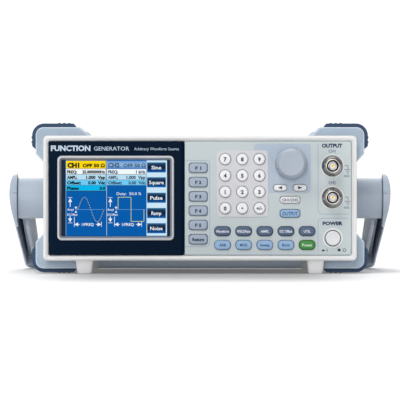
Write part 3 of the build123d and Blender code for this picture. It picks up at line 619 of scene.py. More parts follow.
@dataclass(frozen=True)
class SolderMask(Finish):
    """Circuit board: green mask with copper runs, and dark parts standing above the board.

    Attributes:
        axis: 1 or 2, the axis across the board's thickness.
        level: where the parts start, in metres.
        sign: 1 if parts stand towards the axis's positive side, else -1.
    """

    axis: int = 2
    level: float = 0.0
    sign: int = 1

    def _colour(self, graph: Graph, fine: Socket,
                broad: Socket) -> Socket:
        """Copper runs under the mask from stepped cells, then parts by height."""
        cells = graph.join("TexVoronoi", {"Vector": graph.place, "Scale": 420.0}, "Distance",
                           distance="CHEBYCHEV", feature="F1")
        mask = graph.blend(graph.spread(cells, 0, 1, 0.42, 0.5), self.colour, shaded(self.colour, 1.7))
        parts = graph.join("SeparateXYZ", {0: graph.place}, 0).node
        margin = 0.0002
        ends = (self.level - margin * self.sign, self.level + margin * self.sign)
        above = graph.spread(parts.outputs[self.axis], 0, 1, *ends)
        return graph.blend(above, mask, (0.035, 0.037, 0.04))


@dataclass(frozen=True)
class FloorSheet(Finish):
    """White bench top with a painted shadow: darker in front of and under the instrument.

    Attributes:
        shade: how much of the white is left in the painted shadow.
        middle: middle of the painted shadow, in metres.
        half: half width and half length of the painted shadow's darkest part, in metres.
        fade: widths over which it fades across and along, in metres.
        glow: faint glow of the sheet, painted light that keeps the painted shadow under the case soft.
    """

    shade: float = 0.4
    middle: Point = (0.0, -0.12)
    half: Point = (0.06, 0.12)
    fade: Point = (0.075, 0.34)
    glow: float = 0.11

    def _made(self, label: str) -> bpy.types.Material:
        """Builds the node tree and adds the glow, painted light on the sheet."""
        material = Finish._made(self, label)
        shader = material.node_tree.nodes["Principled BSDF"]
        shader.inputs["Emission Color"].default_value = (*self.colour, 1)
        shader.inputs["Emission Strength"].default_value = self.glow
        return material

    def _colour(self, graph: Graph, fine: Socket,
                broad: Socket) -> Socket:
        """White darkened into a painted shadow: the tone eases up from the shade as the reach goes from
        nothing to one.
        """
        # Painted shadow: the floor colour is darkened by distance from the instrument's footprint.
        reach = graph.reach((0, 1), self.middle, self.half, self.fade)
        tone = graph.join("MapRange", {"Value": reach}, "Result", interpolation_type="SMOOTHSTEP")
        return graph.blend(tone, shaded(self.colour, self.shade), self.colour)


class Palette:
    """Every finish of the instrument."""

    ivory = Finish("bezel_ivory", paint(238, 238, 237), 0.42, 2200, 0.000012, 0.012, 0.01)
    navy = Finish("window_navy", paint(4, 25, 46), 0.34, 2600, 0.000004, 0.05, 0.01, specular=0.02)
    silver = Finish("frame_silver", paint(203, 203, 206), 0.35, 2600, 0.000008, 0.02, 0.01, specular=0.4)
    # Darker finish for the bead's inner slope: painted shade.
    slope = Finish("frame_slope_shade", paint(150, 157, 167), 0.4, 2600, 0.000008, 0.02, 0.01, specular=0.3)
    pad = Finish("pad_light", paint(214, 214, 218), 0.48, 2400, 0.00001, 0.012, 0.012)
    knob = Finish("knob_gray", paint(172, 182, 195), 0.42, 2300, 0.000014, 0.02, 0.015)
    guard = Finish("guard_blue", paint(168, 185, 202), 0.55, 1150, 0.00007, 0.03, 0.05)
    # Lighter finish for the guards' rounded front edge: a painted highlight.
    guard_edge = Finish("guard_edge", paint(203, 214, 227), 0.42, 1150, 0.00003, 0.02, 0.02)
    rubber = Finish("guard_rubber", paint(62, 82, 110), 0.72, 1300, 0.00006, 0.06, 0.05, specular=0.3)
    handle = Finish("handle_blue", paint(170, 181, 196), 0.4, 1900, 0.00002, 0.02, 0.015)
    case = Finish("case_paint", paint(226, 225, 220), 0.5, 900, 0.00006, 0.015, 0.02)
    rear = Finish("rear_paint", paint(220, 220, 216), 0.5, 950, 0.00005, 0.015, 0.02)
    nickel = Finish("nickel", (0.33, 0.32, 0.31), 0.2, 1400, 0.000006, 0.06, 0.03, metal=1.0)
    insulator = Finish("insulator", paint(236, 240, 246), 0.35, 2600, 0.000006, 0.01, 0.01)
    gold = Finish("contact_gold", (0.85, 0.42, 0.09), 0.28, 2600, 0.000004, 0.05, 0.02, metal=1.0)
    steel = Finish("steel", (0.53, 0.54, 0.56), 0.32, 700, 0.00001, 0.06, 0.03, metal=1.0,
                   stretch=(1, 12, 1))
    black = Finish("black_plastic", paint(38, 39, 42), 0.5, 1500, 0.00003, 0.06, 0.03)
    foot = Finish("foot_white", paint(234, 234, 236), 0.42, 2200, 0.000014, 0.012, 0.01)
    glass = Finish("screen_glass", paint(14, 31, 56), 0.2, 2600, 0.000002, 0.05, 0.01, specular=0.05)
    lit = ScreenGlow("screen_picture", (0, 0, 0), 0.3, specular=0.01)
    ink = TintedInk("printed_ink", (0, 0, 0), 0.5, 2600, 0.000006, speckle=0.03, specular=0.3)


class Ink:
    """Printing colours."""

    line = paint(172, 186, 204)
    dark = paint(34, 56, 86)
    soft = paint(74, 94, 122)
    title = paint(196, 214, 232)
    rear = paint(70, 78, 90)


def dress(node: str, finish: Finish) -> None:
    """Gives a CAD node's material slots a finish."""
    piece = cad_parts[node]
    if not piece.data.materials:
        piece.data.materials.append(None)
    for slot in piece.material_slots:
        slot.link = "OBJECT"
        slot.material = finish.material()
    LOG.info("%s keeps its CAD mesh, in %s", node, finish.name)


# ---------------------------------------------------------------- front of the instrument
@dataclass
class FrontBezel:
    """Pale rim round the front, with a rounded crest, an inner slope and side notches.

    Attributes:
        corner: radius of the outer corners.
        corner_loss: how much the corner radius shrinks for each millimetre inwards.
        notch_heights: places of the side notches from the middle.
        notch_half: half height of a notch.
        notch_bite: depth of a notch.
        notch_span: depths between which the notches run.
    """

    corner: float = 3.0
    corner_loss: float = 0.42
    notch_heights: tuple[float, ...] = (-16.2, -9.2, 9.4, 17.0)
    notch_half: float = 1.7
    notch_bite: float = 0.7
    notch_span: Point = (2.2, 9.0)
    box: Extent = field(default_factory=lambda: Extent.of("front_bezel"))

    def section(self) -> np.ndarray:
        """Closed section as (distance inwards from the outer face, depth)."""
        start, stop = self.notch_span
        back = self.box.back - self.box.front
        wall, throat, ledge, step = 3.8, 3.45, 5.8, 0.06
        corners = [(0, back), (0, stop + step), (0, stop - step), (0, start + step), (0, start - step),
                   (0, 0), (1.75, 0), (throat, 1.3), (throat, 4.1), (ledge, 4.1), (ledge, 5.6),
                   (wall, 5.6), (wall, back)]
        radii = [0.3, 0.01, 0.01, 0.01, 0.01, 1.6, 0.35, 0.15, 0.1, 0.15, 0.15, 0.1, 0.3]
        return rounded_path(corners, radii, steps=5)

    def ring(self, inward: float) -> np.ndarray:
        """One turn of the rim at a distance inwards, with points at each notch's edges."""
        x, z = self.box.centre
        width = self.box.right - self.box.left - 2 * inward
        height = self.box.high - self.box.low - 2 * inward
        loop = rounded_box((x, z), width, height, self.corner - self.corner_loss * inward, 8)
        arcs = loop.reshape(4, -1, 2)
        step = 0.05
        places = np.array([z + middle + edge + gap for middle in self.notch_heights
                           for edge in (-self.notch_half, self.notch_half) for gap in (-step, step)])
        right = np.column_stack([np.full(len(places), x + width / 2), places])
        left = np.column_stack([np.full(len(places), x - width / 2), places[::-1]])
        return np.vstack([arcs[0], arcs[1], right, arcs[2], arcs[3], left])

    def build(self) -> None:
        """Sweeps the section round the rim and presses the notches in.

        Formula: a point on a side face whose depth and height lie in a notch moves inwards by
        the notch's bite.
        """
        section = self.section()
        rings = np.stack([at_depth(self.ring(inward), depth) for inward, depth in section])
        x, depth, z = np.moveaxis(rings, -1, 0)
        start, stop = self.notch_span
        heights = np.array(self.notch_heights) + self.box.centre[1]
        inside = (np.abs(z[..., None] - heights) < self.notch_half).any(-1)
        inside &= (depth > start) & (depth < stop) & (section[:, :1] < 0.5)
        inside &= np.abs(x - self.box.centre[0]) > (self.box.right - self.box.left) / 2 - 0.5
        rings[..., 0] -= np.sign(x) * self.notch_bite * inside
        rim = Casting()
        rim.grid(rings, looped=True)
        rim.make("bezel_rim", [Palette.ivory], "case", "bezel_ivory", ["front_bezel"])


@dataclass
class Display:
    """Silver bead, glass, and the lit picture with two channel panes and soft-key labels."""

    bead: Extent = field(default_factory=lambda: Extent.of("display_frame"))
    glass: Extent = field(default_factory=lambda: Extent.of("lcd_panel"))
    width: float = 70.1
    height: float = 52.5

    def frame_bead(self) -> None:
        """Bead swept round the screen; its inner half, the slope, takes a darker finish as painted shade.
        """
        box = self.bead
        wide, tall = box.right - box.left, box.high - box.low
        back = box.back
        front = [(0.0, back), (0.0, box.front), (1.35, box.front)]
        crest = rounded_path(front, 0.6, closed=False, steps=5)
        slope = np.array([(1.45, box.front + 0.03), (2.66, 2.35), (2.7, 2.5), (2.7, back)])
        bead = Casting()
        ring = lambda inward: rounded_box(box.centre, wide - 2 * inward, tall - 2 * inward,
                                          3.1 - 0.74 * inward, 8)
        profile = np.vstack([crest, slope])
        rings = np.stack([at_depth(ring(inward), depth) for inward, depth in profile])
        # Bands of the inner slope take the darker finish, which is painted shade.
        bands = np.arange(len(profile))
        shaded_slope_bands = (bands >= len(crest) - 1) & (bands < len(crest) + 2)
        bead.grid(rings, looped=True, finish=shaded_slope_bands.astype(int))
        bead.make("screen_bead", [Palette.silver, Palette.slope], "case", "frame_silver",
                  ["display_frame"])

    # The picture is drawn in millimetres from the lit area's top left corner: u right, v down.
    def spot(self, u: float, v: float) -> Point:
        """Place of a picture point as (x, z)."""
        return self.bead.left + 5.8 + u, self.bead.high - 3.0 - v

    def pane(self, art: Casting, span: Point, drops: Sequence[float], colours: Sequence[Colour],
             layer: float) -> None:
        """A rectangle of the picture whose colour runs down through bands.

        Args:
            art: the picture.
            span: its left and right u.
            drops: v of each colour.
            colours: colour at each v.
            layer: how far it stands in front of the glass.
        """
        depth = self.glass.front - layer
        rows = [(self.spot(span[0], v), self.spot(span[1], v)) for v in drops]
        rings = [[(left[0], depth, left[1]), (right[0], depth, right[1]),
                  (right[0], self.glass.front + 0.02, right[1]),
                  (left[0], self.glass.front + 0.02, left[1])] for left, right in rows]
        art.grid(np.array(rings), tint=np.repeat(np.array(colours, float), 4, axis=0))

    def write(self, art: Casting, words: str, place: Point, height: float, ink: Colour,
              width: Optional[float] = None, anchor: float = 0.0, weight: float = 0.0) -> None:
        """Words in the picture; the place is the anchor's u and the v of their middle."""
        art.letters(words, self.spot(*place), height, self.glass.front - 0.08, width, anchor,
                    weight, ink, proud=0.03)

    def trace(self, art: Casting, points: Iterable[Point], width: float, ink: Colour) -> None:
        """A line through picture points."""
        path = np.array([self.spot(u, v) for u, v in points])
        art.stroke(path, width, self.glass.front - 0.06, tint=ink)

    def wedge(self, art: Casting, tip: Point, back: Point, half: float, ink: Colour) -> None:
        """An arrow head from its tip to the middle of its back."""
        ahead = np.subtract(back, tip)
        side = np.array([-ahead[1], ahead[0]]) / np.linalg.norm(ahead) * half
        corners = [self.spot(*tip), self.spot(*(back + side)), self.spot(*(back - side))]
        art.slab(np.array(corners), self.glass.front - 0.12, self.glass.front, tint=ink)

    def channel(self, art: Casting, shift: float, square: bool) -> None:
        """One channel's plot with its wave and its dimension marks.

        Formula: the sine falls from the centre line by its amplitude times the sine of one turn
        over the period, drawn as dashes; the square wave is high for half of the period.
        """
        white, axis = paint(240, 246, 255), paint(120, 170, 225)
        yellow, green = paint(205, 200, 120), paint(215, 225, 110)
        centre_v, start, stop, rise = 34.2, 8.4, 26.3, 8.5
        self.trace(art, [(shift + 6.6, centre_v), (shift + 27.2, centre_v)], 0.22, axis)
        if square:
            middle, top, floor = (start + stop) / 2, centre_v - rise, centre_v + 8.2
            corners = [(start, centre_v), (start, top), (middle, top), (middle, floor),
                       (stop, floor), (stop, centre_v)]
            for first, second in zip(corners, corners[1:]):
                self.trace(art, [(shift + u, v) for u, v in (first, second)], 0.34, green)
        else:
            dashes = 30
            edges = np.linspace(start, stop, 2 * dashes + 1)
            level = centre_v - rise * np.sin(2 * np.pi * (edges - start) / (stop - start))
            for index in range(dashes):
                pair = slice(2 * index, 2 * index + 2)
                self.trace(art, zip(shift + edges[pair], level[pair]), 0.34, yellow)
        for cap, head, tail, shaft in ((25.9, 26.3, 29.0, 32.3), (43.4, 43.0, 40.4, 38.9)):
            self.trace(art, [(shift + 1.6, cap), (shift + 4.5, cap)], 0.3, white)
            self.wedge(art, (shift + 3.0, head), (shift + 3.0, tail), 1.35, white)
            self.trace(art, [(shift + 3.0, tail), (shift + 3.0, shaft)], 0.5, white)
        self.wedge(art, (shift + 7.0, 34.1), (shift + 7.0, 32.3), 0.9, white)
        self.wedge(art, (shift + 7.0, 34.8), (shift + 7.0, 36.4), 0.8, white)
        self.write(art, "Ampl", (shift + 0.9, 34.2), 1.5, white, 4.5, weight=0.01)
        self.write(art, "DCOffset", (shift + 0.9, 37.7), 1.5, white, 7.2, weight=0.01)
        for u, top_v in ((5.9, 39.2), (24.6, 42.6)):
            self.trace(art, [(shift + u, top_v), (shift + u, 46.0)], 0.34, white)
        for tip, back, end in ((5.9, 8.5, 9.6), (24.6, 22.0, 20.9)):
            self.wedge(art, (shift + tip, 44.5), (shift + back, 44.5), 1.35, white)
            self.trace(art, [(shift + back, 44.5), (shift + end, 44.5)], 0.4, white)
        self.write(art, "1/FREQ", (shift + 15.2, 44.5), 1.9, white, 8.2, anchor=0.5, weight=0.015)

    def header(self, art: Casting) -> None:
        """Channel names and the rows of settings under them."""
        bands = ((6.2, 9.9, (246, 252, 255)), (9.9, 13.7, (188, 226, 244)),
                 (13.7, 17.4, (112, 206, 248)), (17.4, 21.2, (0, 184, 240)))
        columns = ((0.2, 27.7), (28.6, 55.6))
        rows = (("FREQ:", "25.0000000Hz"), ("AMPL:", "1.000  Vpp"), ("Offset:", "0.00  Vdc"),
                ("Phase:", "0.0"))
        second = (("FREQ:", "1 kHz"), ("AMPL:", "1.000  Vpp"), ("Offset:", "0.00  Vdc"), ("", ""))
        black, gray = paint(16, 20, 26), paint(70, 96, 122)
        for (left, right), lines, ink in zip(columns, (rows, second), (black, gray)):
            for (top, bottom, tone), (name, value) in zip(bands, lines):
                if not name:
                    continue
                self.pane(art, (left, right), (top, bottom), [paint(*tone)] * 2, 0.02)
                middle = (top + bottom) / 2
                self.trace(art, [(left, bottom), (right, bottom)], 0.28, paint(70, 96, 120))
                self.write(art, name, (left + 0.6, middle), 2.3, ink, weight=0.055,
                           width=1.4 * len(name))
                self.write(art, value, (right - 0.4, middle), 2.3, ink, weight=0.055, anchor=1.0,
                           width=min(1.32 * len(value), 17.8))
        self.pane(art, (0.2, 27.7), (0.4, 5.9), [paint(255, 220, 0)] * 2, 0.02)
        self.write(art, "CH1", (1.0, 3.3), 3.5, black, 8.4, weight=0.07)
        self.write(art, "OFF 50 Ω", (27.0, 3.6), 2.6, paint(40, 38, 16), 15.4, 1.0, 0.055)
        blue = [paint(95, 150, 215), paint(150, 185, 225), paint(70, 130, 200)]
        self.pane(art, (28.6, 55.6), (0.4, 3.2, 5.9), blue, 0.02)
        self.write(art, "CH2", (29.2, 3.3), 3.2, gray, 8.0, weight=0.05)
        self.write(art, "OFF 50 Ω", (55.2, 3.6), 2.5, gray, 15.4, 1.0, 0.04)
        self.trace(art, [(0.2, 21.5), (27.7, 21.5)], 0.4, paint(30, 70, 110))

    def soft_labels(self, art: Casting) -> None:
        """Five labels down the right edge, shaded like raised keys."""
        names = ("Sine", "Square", "Pulse", "Ramp", "Noise")
        tones = [paint(60, 130, 180), paint(30, 60, 95), paint(12, 26, 50), paint(10, 60, 120),
                 paint(0, 110, 190)]
        self.pane(art, (55.9, 70.0), (0.2, 52.3), [paint(205, 233, 250)] * 2, 0.02)
        for top, name in zip((1.5, 11.8, 22.5, 33.1, 43.6), names):
            drops = [top + 7.05 * share for share in (0, 0.16, 0.5, 0.8, 1)]
            self.pane(art, (56.3, 69.2), drops, tones, 0.04)
            self.write(art, name, (62.7, top + 3.6), 2.5, paint(235, 244, 252), anchor=0.5,
                       width=1.72 * len(name), weight=0.02)

    def picture(self) -> None:
        """The whole lit picture."""
        art = Casting()
        deep = paint(0, 92, 172)
        self.pane(art, (0, self.width), (0, self.height), [deep] * 2, 0.01)
        self.trace(art, [(0.1, 0.2), (0.1, 52.3)], 0.3, paint(120, 190, 240))
        self.trace(art, [(27.85, 0.2), (27.85, 52.3)], 0.35, paint(8, 40, 90))
        self.trace(art, [(28.25, 0.2), (28.25, 52.3)], 0.4, paint(170, 205, 235))
        self.header(art)
        self.channel(art, 0.0, square=False)
        self.channel(art, 27.8, square=True)
        self.write(art, "Duty:  50.0 %", (35.2, 23.2), 1.9, paint(225, 236, 250), 17.0, weight=0.01)
        self.soft_labels(art)
        art.make("screen_picture", [Palette.lit], "case", "screen")

    def build(self) -> None:
        """Makes the bead and the picture, and dresses glass and window."""
        self.frame_bead()
        self.picture()
        dress("lcd_panel", Palette.glass)
        dress("display_window", Palette.navy)


class KeyStyle(Enum):
    """Cap colour, legend colour and record slot of each family of keys."""

    NUMBER = ((244, 244, 245), (44, 62, 88), "key_white")
    SOFT = ((168, 181, 199), (44, 64, 92), "key_steel_blue")
    WAVE = ((80, 100, 128), (226, 232, 240), "key_dark_blue")
    MODE = ((152, 186, 222), (52, 88, 132), "key_light_blue")
    PRESET = ((58, 142, 56), (222, 240, 222), "key_green")

    @property
    def finish(self) -> Finish:
        """Soft satin moulding in the style's colour."""
        return Finish(self.name.lower() + "_cap", paint(*self.value[0]), 0.46, 2300, 0.00001,
                      0.012, 0.012, specular=0.4)

    @property
    def legend(self) -> Colour:
        """Legend colour."""
        return paint(*self.value[1])

    @property
    def slot(self) -> str:
        """Record's material slot."""
        return self.value[2]


@dataclass
class Key:
    """One key: flange, plunger, softly crowned cap and printed legend.

    Attributes:
        name: node and body name.
        style: colours.
        legend: words, or one of the drawn signs left, right and point.
        tall: height of the legend's capitals.
        wide: width of the legend, if it is stretched.
        weight: how bold the legend is.
        corner: corner radius of the cap.
        flange: how far the flange behind the plate stands out.
        edge: radius of the rounded front edge.
        crown: how far the middle of the face stands forward.
        ease: how much smaller the cap is than its node's on each side.
    """

    name: str
    style: KeyStyle
    legend: str
    tall: float
    wide: Optional[float] = None
    weight: float = 0.02
    corner: float = 2.4
    flange: float = 1.0
    edge: float = 0.8
    crown: float = 0.16
    ease: float = 0.2

    def __post_init__(self) -> None:
        """Reads the key's size from the frame."""
        box = Extent.of(self.name)
        self.x, self.z = box.centre
        self.wide_cap = box.right - box.left - 2 * self.flange
        self.tall_cap = box.high - box.low - 2 * self.flange
        self.face = box.front
        self.stem_back = box.back

    def face_depth(self, x: np.ndarray, z: np.ndarray) -> np.ndarray:
        """Depth of the crowned face: a product of two parabolas that is nothing at the rim."""
        across = 1 - (2 * (x - self.x) / self.wide_cap) ** 2
        up = 1 - (2 * (z - self.z) / self.tall_cap) ** 2
        return self.face + self.crown * (1 - np.clip(across, 0, 1) * np.clip(up, 0, 1))

    def outline(self, inward: float) -> np.ndarray:
        """Cap outline, eased off its node's, moved inwards by a distance."""
        inward += self.ease
        return rounded_box((self.x, self.z), self.wide_cap - 2 * inward, self.tall_cap - 2 * inward,
                           max(self.corner - inward, 0.3))

    def build(self) -> None:
        """Stacks flange, cap side, rounded edge and crowned face, then adds the legend."""
        cap = Casting()
        rings = [at_depth(self.outline(-self.flange), 5.1), at_depth(self.outline(-self.flange), 4.3),
                 at_depth(self.outline(0), 4.3)]
        for angle in np.linspace(0, np.pi / 2, 6):
            loop = self.outline(self.edge * (1 - math.cos(angle)))
            rise = (1 - math.sin(angle)) * self.edge
            rings.append(at_depth(loop, rise + self.face_depth(loop[:, 0], loop[:, 1])))
        rim = self.outline(self.edge)
        middle = np.array([self.x, self.z])
        for share in (0.8, 0.6, 0.4, 0.2, 0.02):
            loop = middle + (rim - middle) * share
            rings.append(at_depth(loop, self.face_depth(loop[:, 0], loop[:, 1])))
        cap.grid(rings)
        plunger = np.array([(1.6, 5.0), (1.6, self.stem_back - 0.3), (1.3, self.stem_back)])
        cap.grid(turned(plunger, (self.x, self.z), sides=20))
        self.print_legend(cap)
        cap.make(self.name + "_cap", [self.style.finish, Palette.ink], self.name, self.style.slot,
                 [self.name])

    def print_legend(self, cap: Casting) -> None:
        """Words in ink, or a drawn arrow head or dot."""
        signs = {"left": -1, "right": 1}
        if self.legend in signs:
            turn = signs[self.legend]
            corners = [(1.6 * turn, 0.0), (-1.4 * turn, 1.15 * turn), (-1.4 * turn, -1.15 * turn)]
            loop = densify(rounded_path(corners, 0.12), 0.5) + (self.x, self.z)
            self.print_shape(cap, loop)
        elif self.legend == "point":
            self.print_shape(cap, circle((self.x, self.z), 0.62, 20))
        else:
            cap.letters(self.legend, (self.x, self.z), self.tall, self.face_depth, self.wide,
                        weight=self.weight, tint=self.style.legend, finish=1)

    def print_shape(self, cap: Casting, loop: np.ndarray) -> None:
        """A filled shape in ink that follows the face."""
        ground = self.face_depth(loop[:, 0], loop[:, 1])
        cap.grid([at_depth(loop, ground + INK_BURIED), at_depth(loop, ground - INK_PROUD)],
                 finish=1, tint=self.style.legend)


class Keyboard:
    """All thirty-two keys and the plate that the number keys stand in."""

    def keys(self) -> list[Key]:
        """Every key with its legend."""
        made = [Key(f"key_{digit}", KeyStyle.NUMBER, str(digit), 2.9, weight=0.05, corner=4.04)
                for digit in range(10)]
        made += [Key("key_point", KeyStyle.NUMBER, "point", 2.0, corner=4.04),
                 Key("key_sign", KeyStyle.NUMBER, "+/-", 2.6, 4.2, 0.04, corner=4.04),
                 Key("key_left", KeyStyle.NUMBER, "left", 2.0, corner=2.1),
                 Key("key_right", KeyStyle.NUMBER, "right", 2.0, corner=2.1),
                 Key("key_channel_select", KeyStyle.NUMBER, "CH1/CH2", 2.0, 11.2, 0.035, corner=2.35),
                 Key("key_output", KeyStyle.MODE, "OUTPUT", 2.6, 10.8, 0.025, corner=2.7)]
        made += [Key(f"key_f{number}", KeyStyle.SOFT, f"F {number}", 2.4, 4.3, 0.05)
                 for number in range(1, 6)]
        made.append(Key("key_return", KeyStyle.SOFT, "Return", 2.3, 8.2, 0.05))
        for name, words, wide in (("waveform", "Waveform", 9.3), ("frequency", "FREQ/Rate", 9.2),
                                  ("amplitude", "AMPL", 5.8), ("offset", "DC Offset", 8.8),
                                  ("utility", "UTIL", 4.8)):
            made.append(Key(f"key_{name}", KeyStyle.WAVE, words, 1.9, wide, 0.03, corner=3.1))
        for name, words, wide in (("arb", "ARB", 4.6), ("mod", "MOD", 5.2), ("sweep", "Sweep", 6.6),
                                  ("burst", "Burst", 5.2)):
            made.append(Key(f"key_{name}", KeyStyle.MODE, words, 1.9, wide, 0.03, corner=3.1))
        made.append(Key("key_preset", KeyStyle.PRESET, "Preset", 2.0, 7.0, 0.02, corner=3.1))
        return made

    def build(self) -> None:
        """Builds each key and dresses the plate."""
        for key in self.keys():
            key.build()
        dress("keypad_plate", Palette.pad)


@dataclass
class EncoderKnob:
    """Turning knob with eight finger scallops and a gently hollow face."""

    scallops: int = 8
    cutter: float = 3.4
    cutter_reach: float = 13.6
    face_radius: float = 8.7
    base_radius: float = 11.0
    softening: float = 0.3
    box: Extent = field(default_factory=lambda: Extent.of("encoder_knob"))

    def build(self) -> None:
        """Turns the profile and bites the scallops.

        Formula: at an angle a from a scallop's middle, the cutter's near side is
        C cos a - sqrt(r^2 - C^2 sin^2 a) from the axis, and the skirt is not wider than that.
        """
        front, back = self.box.front, self.box.back
        side = rounded_path([(self.base_radius - 0.5, back), (self.base_radius, back),
                             (self.base_radius - 0.7, front + 3.4), (self.face_radius, front),
                             (0.3, front + 0.25)], [0.4, 0.9, 1.1], closed=False, steps=5)
        face = np.column_stack([np.linspace(side[-2, 0], 0.3, 6)[1:], np.zeros(5)])
        hollow = 0.35
        face[:, 1] = front + hollow * (1 - (face[:, 0] / self.face_radius) ** 2)
        profile = np.vstack([side[:-1], face])
        rings = turned(profile, self.box.centre, sides=192)
        angle = np.linspace(0, 2 * np.pi, 192, endpoint=False)
        pitch = 2 * np.pi / self.scallops
        off = (angle % pitch) - pitch / 2
        reach = self.cutter_reach * np.sin(off)
        under = np.clip(self.cutter ** 2 - reach ** 2, 0, None)
        limit = np.where(under > 0, self.cutter_reach * np.cos(off) - np.sqrt(under), 99.0)
        limit += self.softening
        radius = profile[:, :1]
        blend = smooth_step((radius - limit) / 0.5 + 0.5)
        trimmed = np.minimum(radius, radius * (1 - blend) + np.minimum(limit, radius) * blend)
        share = (trimmed / radius)[..., None]
        centre = np.array([self.box.centre[0], 0, self.box.centre[1]])
        flat = rings * (1, 0, 1)
        rings = centre + (flat - centre) * share + rings * (0, 1, 0)
        knob = Casting()
        knob.grid(rings)
        knob.make("knob_shell", [Palette.knob], "encoder", "knob_gray", ["encoder_knob"], 40)
        dress("encoder_shaft", Palette.steel)


@dataclass
class PowerSwitch:
    """Dished push button."""

    radius: float = 5.1
    dish: float = 0.7
    box: Extent = field(default_factory=lambda: Extent.of("power_button"))

    def build(self) -> None:
        """Turns the cap: rounded edge, then a parabola down to the dish's middle, and the stem."""
        front = self.box.front
        edge = rounded_path([(self.radius, 8.0), (self.radius, front), (4.1, front)], 0.8,
                            closed=False, steps=6)
        radii = np.linspace(4.0, 0.05, 10)
        dish = np.column_stack([radii, front + self.dish * (1 - (radii / 4.1) ** 2)])
        stem = np.array([(2.0, self.box.back), (2.0, 8.0)])
        button = Casting()
        button.grid(turned(np.vstack([stem, edge, dish]), self.box.centre, sides=72))
        button.make("power_cap", [Palette.foot], "power_button", "foot_white", ["power_button"], 40)


@dataclass
class Sockets:
    """Bayonet sockets on the front and the rear: turned shells, lugs, insulators, contacts, and bores
    painted black as shade.
    """

    drops: Point = (10.9, 32.8)
    rear_middle: Point = (-18.0, 72.0)
    rear_spacing: float = 22.0

    def places(self) -> list[Place]:
        """Each socket as (x, z, depth of its panel, direction it points)."""
        x = Extent.of("power_button").centre[0] - 0.3
        top = Extent.of("keypad_plate").high
        panel = Extent.of("rear_panel").back
        middle, height = self.rear_middle
        rear = [(middle + self.rear_spacing * step, height, panel, -1) for step in (-1, 0, 1)]
        return [(x, top - drop, PLATE_FACE, 1) for drop in self.drops] + rear

    def turn(self, part: Casting, outline: list[Point], place: Place,
             rounding: float, finish: int = 0, bore_shade_finish: int = 0) -> None:
        """Turns a closed section of (radius, distance out of the panel).

        Args:
            part: mesh to add to.
            outline: corners of the section.
            place: socket as (x, z, panel depth, direction).
            rounding: radius of the section's corners.
            finish: which of the piece's finishes it takes.
            bore_shade_finish: finish of the bore's wall and floor, black painted in as shade, or 0 for the
                same.
        """
        x, z, panel, direction = place
        section = rounded_path(outline, rounding, steps=3)
        middles = (section + np.roll(section, -1, 0)) / 2
        # The bore's wall and floor, where black is painted in as shade.
        inside = (middles[:, 0] > 3.25) & (middles[:, 0] < 4.1) & (middles[:, 1] > 4.0)
        inside &= middles[:, 1] < 11.0
        section = np.column_stack([section[:, 0], panel - direction * section[:, 1]])
        bands = np.where(inside & (bore_shade_finish > 0), bore_shade_finish, finish)
        part.grid(turned(section, (x, z), sides=64), looped=True, finish=bands)

    def build(self) -> None:
        """Turns every socket."""
        shells, cores = Casting(), Casting()
        shell = [(2.35, -10.4), (4.75, -10.4), (4.75, -0.2), (7.2, -0.2), (7.2, 0.75), (6.3, 1.6),
                 (6.2, 1.7), (6.2, 2.9), (5.6, 3.5), (4.85, 3.6), (4.85, 11.8), (4.05, 11.8),
                 (4.05, 4.4), (3.2, 4.4), (3.1, 8.2), (2.35, 8.2)]
        insulator = [(1.05, -11.0), (2.3, -11.0), (2.3, 9.6), (1.05, 9.6)]
        contact = [(0.02, -14.0), (1.0, -14.0), (1.0, 9.4), (0.68, 9.4), (0.68, 4.0), (0.02, 4.0)]
        for place in self.places():
            x, z, panel, direction = place
            self.turn(shells, shell, place, 0.18, bore_shade_finish=1)
            self.turn(cores, insulator, place, 0.25)
            self.turn(cores, contact, place, 0.01, finish=1)
            lug = np.array([(1.0, 4.5), (1.0, 5.35), (0.75, 5.6)])
            for side in (-1, 1):
                bar = turned(lug * (1, side) + (0, x), (panel - direction * 8.6, z), Axis.ACROSS, 20)
                shells.grid(bar)
        # The second finish, black, is shade painted into the bores.
        shells.make("socket_shells", [Palette.nickel, Palette.black], "case", "nickel", ["bnc_shells"])
        cores.make("socket_cores", [Palette.insulator, Palette.gold], "case", "insulator",
                   ["bnc_cores"])


